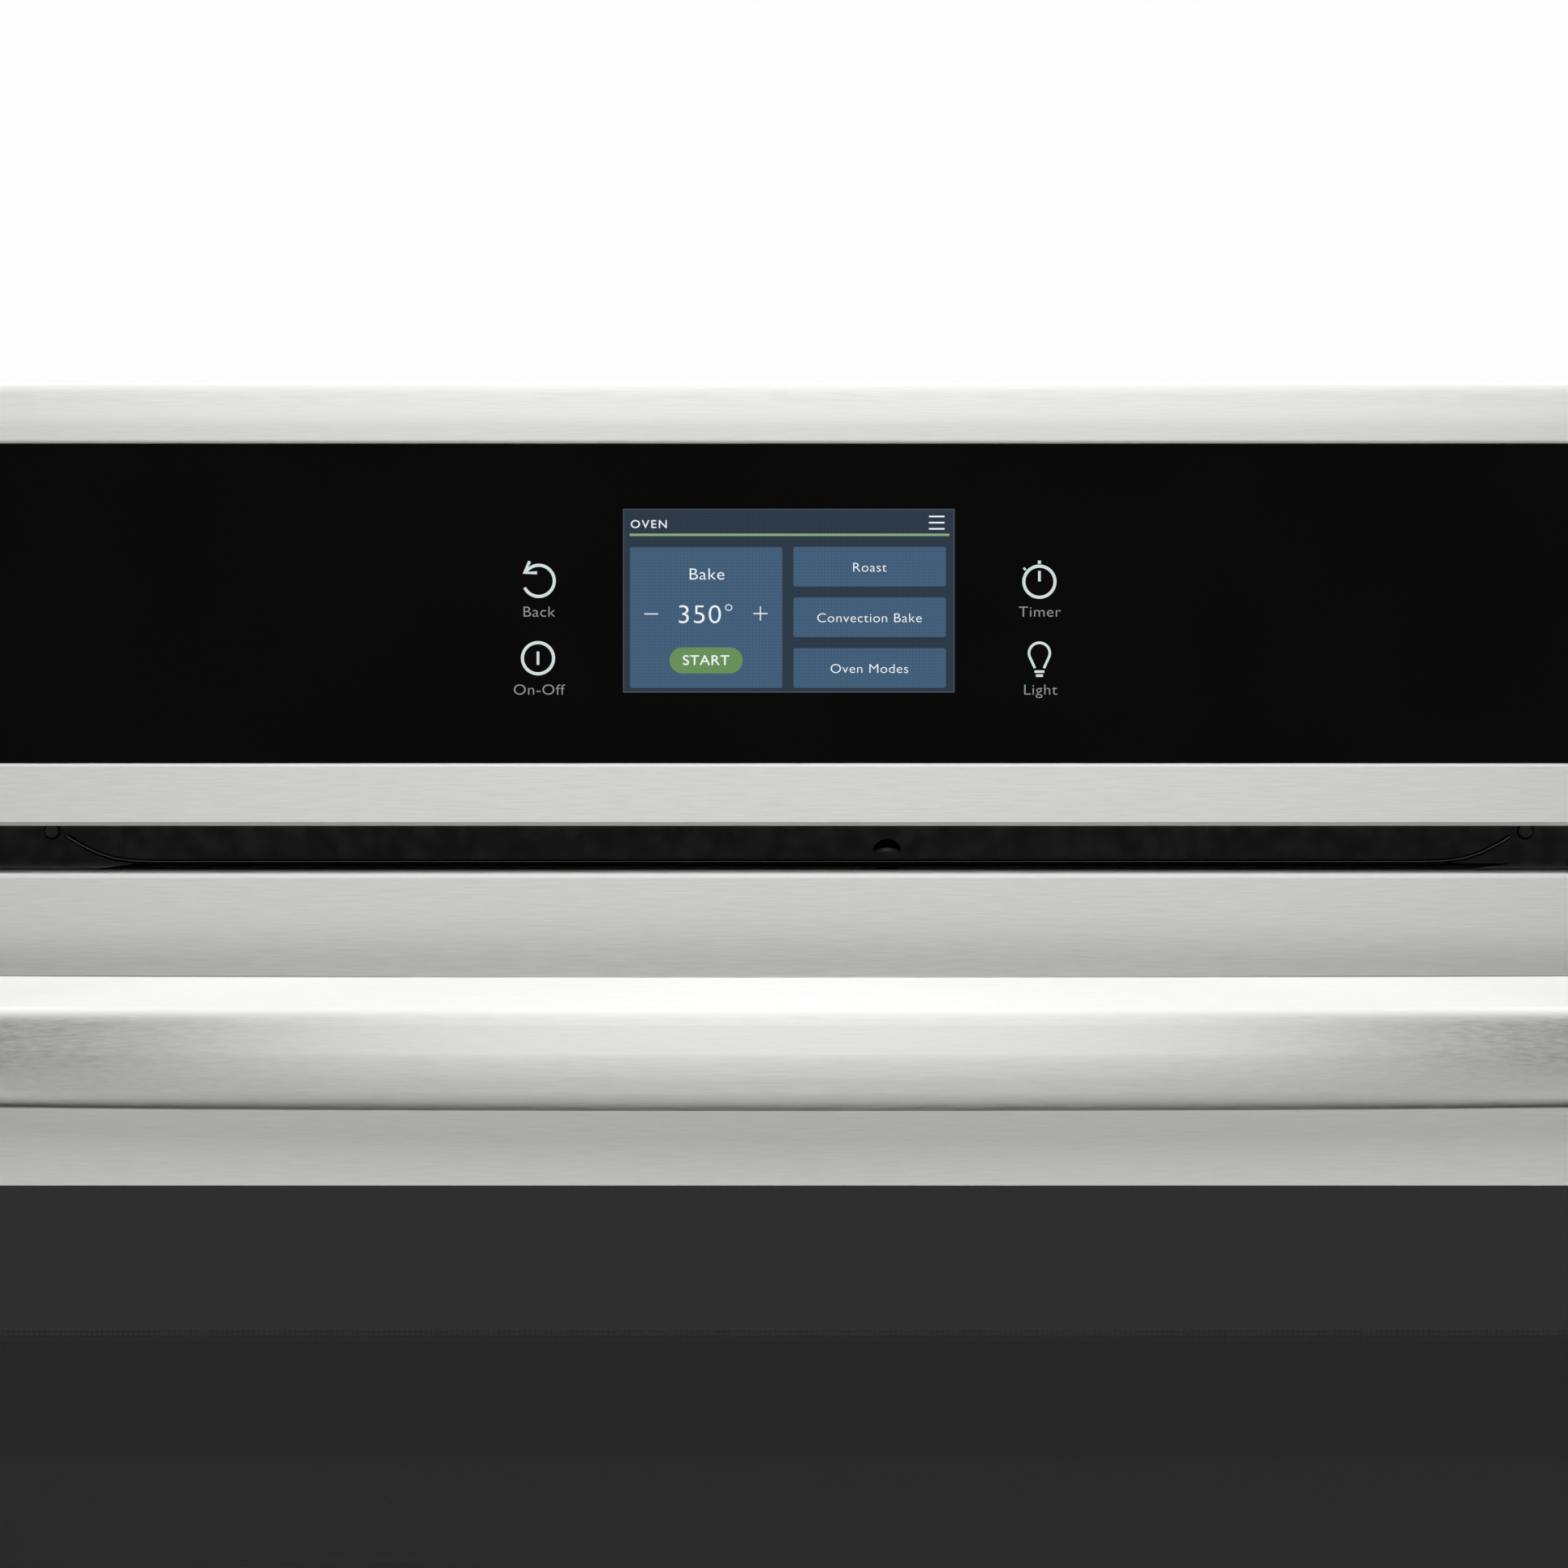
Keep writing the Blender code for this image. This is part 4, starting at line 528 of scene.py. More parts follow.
def make_materials():
    """Every finish on the oven, by its slot name in the record."""
    return {
        "stainless": brushed_stainless(),
        "galvanised": galvanised_sheet(),
        # Gloss black porcelain enamel on the pressed front and the door's inside.
        "black_enamel": grained(
            "black porcelain enamel",
            "#040405",
            "#08090a",
            (5, 5, 5),
            (0.09, 0.16),
            bump=0.012,
            **{"Coat Weight": 0.6, "Coat Roughness": 0.05},
        ),
        "blue_enamel": speckled_enamel(),
        # Epoxy powder coat: satin black with a fine pebbled surface.
        "black_paint": grained(
            "black powder coat",
            "#121315",
            "#1b1c1e",
            (0.9, 0.9, 0.9),
            (0.4, 0.55),
            bump=0.03,
        ),
        # Back-printed black control glass: deep, flat and mirror-smooth.
        "black_glass": grained(
            "back-printed control glass",
            "#020203",
            "#040405",
            (60, 60, 60),
            (0.02, 0.045),
            **{"Specular IOR Level": 0.4},
        ),
        # Clear float glass, a breath of green, with faint wiping haze.
        "clear_glass": grained(
            "clear float glass",
            "#dfe8e4",
            "#e6ece9",
            (40, 40, 40),
            (0.0, 0.03),
            **{"Transmission Weight": 1.0, "IOR": 1.5},
        ),
        # Thin inner door panes with a heat-reflecting coating: faintly grey.
        "door_pane": grained(
            "coated inner pane",
            "#0b0f0d",
            "#0d1210",
            (40, 40, 40),
            (0.01, 0.03),
            Alpha=0.14,
        ),
        # Bright nickel-chrome plate on round wire: clean mirror, faint drawing lines.
        "chrome": grained(
            "chrome-plated wire",
            "#c4c6c9",
            "#dadcde",
            (25, 1.2, 1.2),
            (0.08, 0.17),
            Metallic=1.0,
        ),
        # Zinc-plated carbon steel: soft grey with cloudy patches.
        "steel": grained(
            "zinc-plated steel",
            "#8b8f90",
            "#a8aaa9",
            (7, 7, 7),
            (0.25, 0.42),
            Metallic=1.0,
        ),
        # Nickel-alloy heating tube: dull grey-brown oxide from use.
        "element": grained(
            "oxidised heating tube",
            "#37332f",
            "#5a544d",
            (9, 4, 4),
            (0.4, 0.58),
            bump=0.02,
            Metallic=0.7,
        ),
        # Glass-wool blanket: pale yellow matted fibres.
        "glass_wool": grained(
            "glass wool", "#b9a566", "#ddcf98", (6, 1.5, 1.5), (0.85, 0.95), bump=0.8
        ),
        "woven_seal": woven_glass_seal(),
        # Moulded polyester: near-black, matt, faint spark-eroded texture.
        "black_plastic": grained(
            "moulded black polyester",
            "#0e0f10",
            "#161718",
            (0.8, 0.8, 0.8),
            (0.5, 0.62),
            bump=0.02,
        ),
        # Steatite ceramic and white nylon: off-white, slightly chalky.
        "white_plastic": grained(
            "white steatite", "#d9d6cd", "#e8e5de", (2, 2, 2), (0.45, 0.6), bump=0.01
        ),
        "circuit_board": circuit_laminate(),
        # Screen module behind the glass: dark bezel film.
        "display": grained(
            "screen bezel film", "#0b0d10", "#12151a", (12, 12, 12), (0.2, 0.3)
        ),
        # Die-cast aluminium: soft silver with a fine cast skin.
        "aluminium": grained(
            "cast aluminium",
            "#9a9c9d",
            "#b4b5b5",
            (1.2, 1.2, 1.2),
            (0.35, 0.5),
            bump=0.02,
            Metallic=1.0,
        ),
    }


# --------------------------------------------------------------------- settings
def tint(name, description, code):
    """A colour property with its default as sRGB hex."""
    return bpy.props.FloatVectorProperty(
        name=name,
        description=description,
        default=linear(code),
        size=4,
        min=0.0,
        max=1.0,
        subtype="COLOR",
    )


def length(name, description, size):
    """A length property in metres."""
    return bpy.props.FloatProperty(
        name=name,
        description=description,
        default=size,
        min=0.0,
        subtype="DISTANCE",
        unit="LENGTH",
    )


def power(name, description, watts):
    """A light's power in watts."""
    return bpy.props.FloatProperty(
        name=name, description=description, default=watts, min=0.0, unit="POWER"
    )


class WallOvenScreen(bpy.types.PropertyGroup):
    """Colours and sizes of the lit screen and the touch keys."""

    ground: tint("Ground", "Screen behind the tiles", "#2b3947")
    tile: tint("Tile", "Touch tiles", "#43607c")
    start: tint("Start", "Start button", "#6f9a5e")
    rule: tint("Rule", "Line under the heading", "#8fae86")
    words: tint("Words", "Lettering on the screen", "#eef2f6")
    key: tint("Key", "Touch-key symbols", "#cfdcdc")
    label: tint("Label", "Words under the touch keys", "#8e8f8f")
    key_radius: length("Key radius", "Ring of a touch-key symbol", 4.47 * MM)
    key_line: length("Key line", "Stroke of a touch-key symbol", 0.88 * MM)
    corner: length("Tile corner", "Corner radius of a tile", 0.6 * MM)


class WallOvenMetal(bpy.types.PropertyGroup):
    """Edges, wires and fixings of the metal pieces."""

    edge: length("Edge", "Rounding of folded sheet edges", 0.35 * MM)
    roll: length("Rolled edge", "Rolled edge of the fascia's opening", 1.15 * MM)
    glass_edge: length("Glass edge", "Ground edge of the glass", 0.3 * MM)
    screw: length("Screw head", "Radius of the casing screws", 4.0 * MM)
    handle_steps: bpy.props.IntProperty(
        name="Handle steps",
        description="Stations along the bowed handle",
        default=72,
        min=8,
    )


class WallOvenStudio(bpy.types.PropertyGroup):
    """Camera and light round the oven."""

    distance: length("Camera distance", "Camera to the oven's front", 1.6)
    width: length("View width", "Width seen at the oven's front", 0.450)
    height: length("View height", "Camera height", 0.623)
    floor: tint("Floor", "Floor under the oven", "#dedddb")
    key_power: power("Key light", "Front softbox", 7.8)
    top_power: power("Top light", "Overhead softbox", 14.0)


FINISHES = {}  # filled by the first operator, by slot name


class OvenOperator:
    """Shared options of the oven's operators."""

    bl_options = {"REGISTER", "UNDO"}


# ------------------------------------------------------------------ the CAD frame
DOOR_PANES = {"middle_glass", "inner_glass"}


class OVEN_OT_finishes(OvenOperator, bpy.types.Operator):
    """Give every CAD node the finish its record names"""

    bl_idname = "oven.finishes"
    bl_label = "Finishes"

    def execute(self, context):
        FINISHES.update(make_materials())
        slots = {r["node"]: r["material_slot"] for r in frame["record"]["subparts"]}
        for name, obj in frame["nodes"].items():
            finish = FINISHES["door_pane" if name in DOOR_PANES else slots[name]]
            if obj.material_slots:
                for place in obj.material_slots:
                    place.material = finish
            else:
                obj.data.materials.append(finish)
        return {"FINISHED"}


SOFT_EDGED = {
    # node: (new piece, body, slot)
    "control_fascia": ("fascia_brushed", "chassis", "stainless"),
    "panel_end_cap_left": ("fascia_end_left", "chassis", "stainless"),
    "panel_end_cap_right": ("fascia_end_right", "chassis", "stainless"),
    "bottom_trim": ("lower_trim_brushed", "chassis", "stainless"),
    "door_skin": ("door_skin_brushed", "door", "stainless"),
    "handle_post_left": ("handle_foot_left", "door", "stainless"),
    "handle_post_right": ("handle_foot_right", "door", "stainless"),
    "side_trim_left": ("side_trim_coated_left", "chassis", "black_paint"),
    "side_trim_right": ("side_trim_coated_right", "chassis", "black_paint"),
    "front_frame": ("front_frame_enamelled", "chassis", "black_enamel"),
}


OUTER_BAND = 8 * MM  # the fascia's opening lies further in than this
FRONT_SKIN = 0.2 * MM  # corners this close to the front plane belong to it


def roll_opening(bm, radius):
    """Rolls the front edges of the fascia's opening for the control glass."""
    low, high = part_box("control_fascia")

    def in_opening(point):
        return (
            point.y < low.y + FRONT_SKIN
            and low.z + OUTER_BAND < point.z < high.z - OUTER_BAND
            and low.x + OUTER_BAND < point.x < high.x - OUTER_BAND
        )

    edges = [
        e
        for e in bm.edges
        if e.calc_face_angle(0) > math.radians(60)
        and all(in_opening(v.co) for v in e.verts)
    ]
    round_off(bm, edges, radius, 5)


class OVEN_OT_sheet_metal(OvenOperator, bpy.types.Operator):
    """Round the folded edges of the visible sheet-metal pieces"""

    bl_idname = "oven.sheet_metal"
    bl_label = "Sheet metal"

    def execute(self, context):
        edge = context.scene.wall_oven_metal.edge
        for node, (name, body, slot) in SOFT_EDGED.items():
            bm = merged_copy(node)
            if node == "control_fascia":
                roll_opening(bm, context.scene.wall_oven_metal.roll)
            soften(bm, edge)
            place_on(finished(name, bm, FINISHES[slot]), body, slot, node)
        return {"FINISHED"}


PRINT_BAND = 46 * MM  # black printed border of the door glass


class OVEN_OT_glass(OvenOperator, bpy.types.Operator):
    """Grind the edges of the control glass and the door glass"""

    bl_idname = "oven.glass"
    bl_label = "Glass"

    def execute(self, context):
        edge = context.scene.wall_oven_metal.glass_edge
        bm = merged_copy("control_glass")
        soften(bm, edge, segments=3)
        glass = finished("control_glass_polished", bm, FINISHES["black_glass"])
        place_on(glass, "chassis", "black_glass", "control_glass")
        bm = merged_copy("door_glass")
        soften(bm, edge, segments=3)
        printed = window_glass(*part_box("door_glass"), PRINT_BAND)
        pane = finished("door_glass_printed", bm, printed)
        place_on(pane, "door", "black_glass", "door_glass")
        return {"FINISHED"}


# ------------------------------------------------------------- screen and keys
PANEL_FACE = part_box("control_glass")[0].y
SCREEN = sum(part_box("touch_display"), Vector()) / 2
HALF_WIDE, HALF_TALL = 47.55, 26.35  # of the lit picture, in mm


def on_panel(x, z, layer):
    """A point on the control glass, x and z in mm from the screen's middle."""
    return Vector((SCREEN.x + x * MM, PANEL_FACE - layer * LIFT, SCREEN.z + z * MM))


def plate(bm, left, right, low, high, layer, corner=0.0):
    """A thin tile on the glass, in mm from the screen's middle."""
    verts = box(bm, on_panel(left, low, layer), on_panel(right, high, layer - 1))
    edges = dict.fromkeys(e for v in verts for e in v.link_edges)
    corners = [e for e in edges if abs(e.verts[0].co.y - e.verts[1].co.y) > LIFT / 2]
    if corner:
        round_off(bm, corners, corner, 8)


def stroke(bm, points, width, layer, closed=False):
    """A drawn line with round ends on the glass, points in mm, width in metres."""
    points = [(x * MM, 0, z * MM) for x, z in points]
    flatness = Matrix.Diagonal((1, LIFT / width, 1, 1))
    lay_in(bm, bar_curve(points, width / 2, closed), at_layer(layer) @ flatness)


def at_layer(layer):
    """Moves a shape drawn round the origin to its layer on the glass."""
    return Matrix.Translation(on_panel(0, 0, layer - 0.5))


CAP_SHARE = 0.72  # of the font's size that a capital is tall
FONT_THINNER = 0.035  # mm taken off the font's own strokes
WIDE = Matrix.Diagonal((1.1, 1, 1, 1))  # the letters are set wide
UPRIGHT = Matrix.Rotation(math.radians(90), 4, "X")


def letters(bm, words, x, z, cap, layer, align="CENTER", weight=0.0, spread=1.06):
    """Lettering on the glass; x, baseline z, cap height and weight in mm."""
    text = bpy.data.curves.new("words", "FONT")
    text.body = words
    text.size = cap * MM / CAP_SHARE
    text.align_x = align
    text.space_character = spread
    text.offset = (weight - FONT_THINNER) * MM
    text.extrude = LIFT / 2
    place = Matrix.Translation((x * MM, 0, z * MM)) @ UPRIGHT @ WIDE
    lay_in(bm, text, at_layer(layer) @ place)


def ring(middle_x, middle_z, radius, start=0, end=360, steps=64):
    """Points on an arc in mm, angles in degrees from the right, upwards."""
    turns = [math.radians(start + (end - start) * i / steps) for i in range(steps + 1)]
    return [
        (middle_x + radius * math.cos(t), middle_z + radius * math.sin(t)) for t in turns
    ]


# Layers count out from the glass; the lowest holds the screen's rim and the keys.
PRINT_LAYER, GROUND_LAYER, TILE_LAYER, BUTTON_LAYER, WORD_LAYER = 1, 2, 3, 4, 5
# The screen's layout in mm from its middle.
RIM = 0.25
BIG_TILE = (-45.6, -1.88, -25.04, 15.37)  # left, right, low, high
TILE_SIDES = (1.31, 45.05)
TILES = (  # low, high, words
    (4.08, 15.47, "Roast"),
    (-10.43, 0.96, "Convection Bake"),
    (-24.99, -13.6, "Oven Modes"),
)
TILE_WORD_X, TILE_WORD_DROP, TILE_WORD_CAP = 23.1, 1.45, 2.7
START_BUTTON = (-34.23, -13.27, -20.88, -13.39)
START_CORNER = 3.7 * MM
RULE = (-45.7, 46.0, 18.55, 19.25)
HEADINGS = (  # words, x, baseline, cap height, then the lettering's own settings
    ("OVEN", -45.5, 20.88, 2.33, {"align": "LEFT", "weight": 0.05, "spread": 1.2}),
    ("Bake", -23.6, 6.06, 3.4, {}),
    ("350°", -23.9, -6.47, 5.46, {"weight": -0.05}),
    ("START", -23.8, -18.43, 2.9, {"weight": 0.06}),
)
SIGN_LINE, MENU_LINE = 0.3 * MM, 0.42 * MM
SIGNS = (  # the minus, then the two strokes of the plus
    ((-41.5, -3.8), (-37.5, -3.8)),
    ((-10.2, -3.7), (-6.15, -3.7)),
    ((-8.18, -5.7), (-8.18, -1.65)),
)
MENU_SIDES, MENU_HEIGHTS = (40.2, 44.65), (24.16, 22.39, 20.62)


class OVEN_OT_screen(OvenOperator, bpy.types.Operator):
    """Build the lit screen in layers on the control glass"""

    bl_idname = "oven.screen"
    bl_label = "Screen"

    def execute(self, context):
        look = context.scene.wall_oven_screen
        glow = {
            "ground": lit("screen ground glow", look.ground, 0.9),
            "rim": lit("screen rim glow", "#4b5660"),
            "tile": lit("screen tile glow", look.tile, 0.9),
            "start": lit("start button glow", look.start, 0.7),
            "rule": lit("heading rule glow", look.rule, 0.9),
            "words": lit("screen lettering glow", look.words),
        }
        layers = {part: bmesh.new() for part in glow}
        wide, tall = HALF_WIDE - RIM, HALF_TALL - RIM
        rim = (-HALF_WIDE, HALF_WIDE, -HALF_TALL, HALF_TALL)
        plate(layers["rim"], *rim, PRINT_LAYER)
        plate(layers["ground"], -wide, wide, -tall, tall, GROUND_LAYER)
        plate(layers["tile"], *BIG_TILE, TILE_LAYER, look.corner)
        words = layers["words"]
        for low, high, name in TILES:
            plate(layers["tile"], *TILE_SIDES, low, high, TILE_LAYER, look.corner)
            baseline = (low + high) / 2 - TILE_WORD_DROP
            letters(words, name, TILE_WORD_X, baseline, TILE_WORD_CAP, WORD_LAYER)
        plate(layers["start"], *START_BUTTON, BUTTON_LAYER, START_CORNER)
        plate(layers["rule"], *RULE, TILE_LAYER)
        for text, x, z, cap, settings in HEADINGS:
            letters(words, text, x, z, cap, WORD_LAYER, **settings)
        for sign in SIGNS:
            stroke(words, sign, SIGN_LINE, WORD_LAYER)
        for height in MENU_HEIGHTS:
            ends = [(side, height) for side in MENU_SIDES]
            stroke(words, ends, MENU_LINE, WORD_LAYER)
        for part, bm in layers.items():
            obj = finished(f"screen_{part}", bm, glow[part])
            place_on(obj, "chassis", "display")
        return {"FINISHED"}


# The touch keys in mm: symbols by their own middles, words by their baselines.
BACK_KEY, POWER_KEY = (-71.8, 5.7), (-72.0, -16.5)
TIMER_KEY, LIGHT_KEY = (71.9, 5.45), (71.9, -15.05)
BULB_RADIUS = 2.98
KEY_WORDS = (
    ("Back", -71.8, -4.6),
    ("On-Off", -71.8, -26.97),
    ("Timer", 72.0, -4.6),
    ("Light", 72.1, -26.97),
)
KEY_CAP = 3.1


class OVEN_OT_touch_keys(OvenOperator, bpy.types.Operator):
    """Draw the four touch keys and their words beside the screen"""

    bl_idname = "oven.touch_keys"
    bl_label = "Touch keys"

    def execute(self, context):
        look = context.scene.wall_oven_screen
        radius, line = look.key_radius / MM, look.key_line
        symbols, labels = bmesh.new(), bmesh.new()

        def draw(points, weight=1.0, closed=False):
            stroke(symbols, points, line * weight, PRINT_LAYER, closed)

        # An arrow bent back on itself.
        x, z = BACK_KEY
        draw(ring(x, z, radius, 150, -154))
        draw(((x - 2.6, z + 5.6), (x - 4.2, z + 2.3), (x - 0.5, z + 2.3)))
        # A ring with a short upright stroke.
        x, z = POWER_KEY
        draw(ring(x, z, radius)[:-1], closed=True)
        draw(((x, z - 1.9), (x, z + 1.9)), 0.85)
        # A stopwatch: hand, crown and side button.
        x, z = TIMER_KEY
        draw(ring(x, z, radius)[:-1], closed=True)
        draw(((x, z + 0.1), (x, z + 3.1)), 0.85)
        draw(((x - 0.45, z + 5.6), (x + 0.45, z + 5.6)))
        draw(((x - 4.45, z + 3.45), (x - 4.0, z + 3.9)), 0.9)
        # A light bulb over two turns of its screw base.
        x, z = LIGHT_KEY
        bulb = ring(x, z, BULB_RADIUS, -20, 200, 40)
        draw([(x + 1.3, z - 4.3), *bulb, (x - 1.3, z - 4.3)], 0.82)
        draw(((x - 1.4, z - 5.3), (x + 1.4, z - 5.3)), 0.8)
        draw(((x - 1.0, z - 6.45), (x + 1.0, z - 6.45)), 0.8)
        for words, x, z in KEY_WORDS:
            letters(labels, words, x, z, KEY_CAP, PRINT_LAYER)
        drawn = finished("touch_key_symbols", symbols, lit("key symbol glow", look.key))
        place_on(drawn, "chassis", "display")
        drawn = finished("touch_key_words", labels, lit("key label glow", look.label))
        place_on(drawn, "chassis", "display")
        return {"FINISHED"}


# ------------------------------------------------------------------------ handle
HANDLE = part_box("handle_bar")
HANDLE_MIDDLE = (HANDLE[0].z + HANDLE[1].z) / 2
HANDLE_HALF = HANDLE[1].x
HANDLE_DEEP = 18 * MM
HANDLE_BOW = HANDLE[1].y - HANDLE[0].y - HANDLE_DEEP
HANDLE_END_ROUND = 0.8 * MM
# Section corners in mm behind the front and above the middle, with the radius that
# each is rounded to.
HANDLE_SECTION = (
    (18.0, 17.6, 1.4),
    (14.6, 19.0, 1.2),
    (2.6, 8.3, 3.0),
    (0.0, -6.0, 4.0),
    (3.0, -17.0, 4.5),
    (12.0, -19.0, 3.0),
    (18.0, -14.0, 1.4),
)


class OVEN_OT_handle(OvenOperator, bpy.types.Operator):
    """Spin the bowed handle bar with its slanted upper facet"""

    bl_idname = "oven.handle"
    bl_label = "Handle"

    def execute(self, context):
        bow = (HANDLE_HALF**2 + HANDLE_BOW**2) / (2 * HANDLE_BOW)
        reach = math.asin(HANDLE_HALF / bow)
        centre = Vector((0, HANDLE[0].y + bow, 0))
        bm = bmesh.new()
        verts = [
            bm.verts.new((0, HANDLE[0].y + back * MM, HANDLE_MIDDLE + up * MM))
            for back, up, _ in HANDLE_SECTION
        ]
        bm.faces.new(verts)
        for vert, (_, _, radius) in zip(verts, HANDLE_SECTION):
            round_off(bm, [vert], radius * MM, 6, affect="VERTICES")
        turn = Matrix.Rotation(-reach, 3, "Z")
        bmesh.ops.rotate(bm, cent=centre, matrix=turn, verts=bm.verts)
        bmesh.ops.spin(
            bm,
            geom=list(bm.faces) + list(bm.edges) + list(bm.verts),
            cent=centre,
            axis=(0, 0, 1),
            angle=2 * reach,
            steps=context.scene.wall_oven_metal.handle_steps,
        )
        ends = [f for f in bm.faces if len(f.verts) > 4]
        rims = list(dict.fromkeys(e for f in ends for e in f.edges))
        round_off(bm, rims, HANDLE_END_ROUND, 3, clamp_overlap=True)
        bmesh.ops.recalc_face_normals(bm, faces=bm.faces)
        bar = finished("handle_bowed", bm, FINISHES["stainless"])
        place_on(bar, "door", "stainless", "handle_bar")
        return {"FINISHED"}


# ------------------------------------------------------------------------- racks
RACK_WIRE, GRID_WIRE, BRACE_WIRE = 3.0 * MM, 1.9 * MM, 2.4 * MM  # radii
GRID_PITCH = 40 * MM
GRID_OVERLAP = 1.5 * MM  # how far a grid wire's end stays inside the rim wire
BRACE_DROP = 0.4 * MM
BRACE_SHARES = (0.3, 0.7)  # of the depth, from the front
RACK_CORNER = 14 * MM
CORNER_STEPS = 8


def rack_rim(x, front, back, z):
    """Points along the rounded rectangle that the rim wire follows."""
    points = []
    corners = ((x, back, 0), (-x, back, 90), (-x, front, 180), (x, front, 270))
    for side_x, side_y, start in corners:
        mid_x = math.copysign(abs(side_x) - RACK_CORNER, side_x)
        mid_y = side_y - RACK_CORNER if side_y == back else side_y + RACK_CORNER
        for i in range(CORNER_STEPS + 1):
            turn = math.radians(start + i * 90 / CORNER_STEPS)
            across = mid_x + RACK_CORNER * math.cos(turn)
            points.append((across, mid_y + RACK_CORNER * math.sin(turn), z))
    return points


class OVEN_OT_racks(OvenOperator, bpy.types.Operator):
    """Bend the round wires of the two oven racks"""

    bl_idname = "oven.racks"
    bl_label = "Racks"

    def execute(self, context):
        for node in ("rack_lower", "rack_upper"):
            low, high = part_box(node)
            x, z = high.x - RACK_WIRE, low.z + RACK_WIRE
            front, back = low.y + RACK_WIRE, high.y - RACK_WIRE
            bm = bmesh.new()
            rim = rack_rim(x, front, back, z)
            lay_in(bm, bar_curve(rim, RACK_WIRE, closed=True, rounding=4))
            count = round(2 * (x - GRID_PITCH / 2) / GRID_PITCH)
            pitch = 2 * x / (count + 1)
            top = high.z - GRID_WIRE
            for i in range(1, count + 1):
                across = -x + i * pitch
                reach = (front - GRID_OVERLAP, back + GRID_OVERLAP)
                ends = [(across, end, top) for end in reach]
                lay_in(bm, bar_curve(ends, GRID_WIRE, rounding=3))
            for share in BRACE_SHARES:
                depth = front + share * (back - front)
                ends = [(end, depth, z - BRACE_DROP) for end in (-x, x)]
                lay_in(bm, bar_curve(ends, BRACE_WIRE, rounding=3))
            wires = finished(f"{node}_wires", bm, FINISHES["chrome"])
            place_on(wires, node, "chrome", node)
        return {"FINISHED"}


# ---------------------------------------------------------------- fixings, vent
BACK_SCREW_INSET, BACK_SCREW_HEIGHTS = 9, (30, 250, 480, 690)  # mm
TOP_SCREW_INSET, TOP_SCREW_DEPTHS = 8, (25, 290, 560)
SIDE_SCREW_DEPTHS, SIDE_SCREW_HEIGHTS = (25, 560), (40, 360, 690)
GAP_SCREWS = ((-216.5, 609.2), (216.5, 609.2))  # across and up
GAP_SCREW_FOOT, GAP_SCREW_TOP, GAP_SCREW_TALL = 2.6 * MM, 1.9 * MM, 1.6 * MM
FLANGE_THICK, HEAD_TALL = 0.8 * MM, 2.5 * MM
FLANGE_TAPER, HEAD_SHARE = 0.9, 0.72  # of the flange's radius


def hex_screw(bm, foot, grows, radius):
    """A hexagon washer-head screw that stands out from the sheet."""
    disc(bm, foot, radius, FLANGE_THICK, grows, top=radius * FLANGE_TAPER)
    disc(bm, foot, radius * HEAD_SHARE, HEAD_TALL, grows, sides=6)


class OVEN_OT_screws(OvenOperator, bpy.types.Operator):
    """Set the casing screws and the two screws in the vent gap"""

    bl_idname = "oven.screws"
    bl_label = "Screws"

    def execute(self, context):
        radius = context.scene.wall_oven_metal.screw
        bm = bmesh.new()
        low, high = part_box("chassis_back")
        inset = BACK_SCREW_INSET * MM
        for x in (low.x + inset, high.x - inset):
            for z in BACK_SCREW_HEIGHTS:
                hex_screw(bm, (x, high.y, z * MM), "backward", radius)
        low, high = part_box("chassis_top")
        inset = TOP_SCREW_INSET * MM
        for x in (low.x + inset, high.x - inset):
            for y in TOP_SCREW_DEPTHS:
                hex_screw(bm, (x, y * MM, high.z), "up", radius)
        for side in ("left", "right"):
            low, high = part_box(f"chassis_side_{side}")
            x = low.x if side == "left" else high.x
            for y in SIDE_SCREW_DEPTHS:
                for z in SIDE_SCREW_HEIGHTS:
                    hex_screw(bm, (x, y * MM, z * MM), side, radius)
        place_on(finished("casing_screws", bm, FINISHES["steel"]), "chassis", "steel")
        bm = bmesh.new()
        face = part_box("front_frame")[0].y
        for x, z in GAP_SCREWS:
            foot = (x * MM, face, z * MM)
            disc(bm, foot, GAP_SCREW_FOOT, GAP_SCREW_TALL, "forward", top=GAP_SCREW_TOP)
        screws = finished("vent_gap_screws", bm, FINISHES["black_paint"])
        place_on(screws, "chassis", "black_paint")
        return {"FINISHED"}


HOOD_PLACE = (29, 3, 603.2)  # mm: across, behind the front frame's face, up
HOOD_SIZE = (4.2, 2.6, 3.6)
HOOD_SHEET = 0.4 * MM


class OVEN_OT_vent_hood(OvenOperator, bpy.types.Operator):
    """Press the small half-round hood in the air channel above the door"""

    bl_idname = "oven.vent_hood"
    bl_label = "Vent hood"

    def execute(self, context):
        across, behind, up = (v * MM for v in HOOD_PLACE)
        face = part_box("front_frame")[0].y + behind
        bm = bmesh.new()
        size = Matrix.Diagonal((*(v * MM for v in HOOD_SIZE), 1))
        place = Matrix.Translation((across, face, up))
        bmesh.ops.create_uvsphere(
            bm, u_segments=32, v_segments=16, radius=1, matrix=place @ size
        )
        # Only the front upper quarter of the ball stays.
        for spot, side in (((0, 0, up), (0, 0, -1)), ((0, face, 0), (0, 1, 0))):
            bmesh.ops.bisect_plane(
                bm,
                geom=list(bm.verts) + list(bm.edges) + list(bm.faces),
                plane_co=spot,
                plane_no=side,
                clear_outer=True,
            )
        bmesh.ops.recalc_face_normals(bm, faces=bm.faces)
        bmesh.ops.solidify(bm, geom=bm.faces[:], thickness=HOOD_SHEET)
        hood = finished("vent_hood", bm, FINISHES["black_enamel"])
        place_on(hood, "chassis", "black_enamel")
        return {"FINISHED"}


BEAD_RADIUS = 0.75 * MM
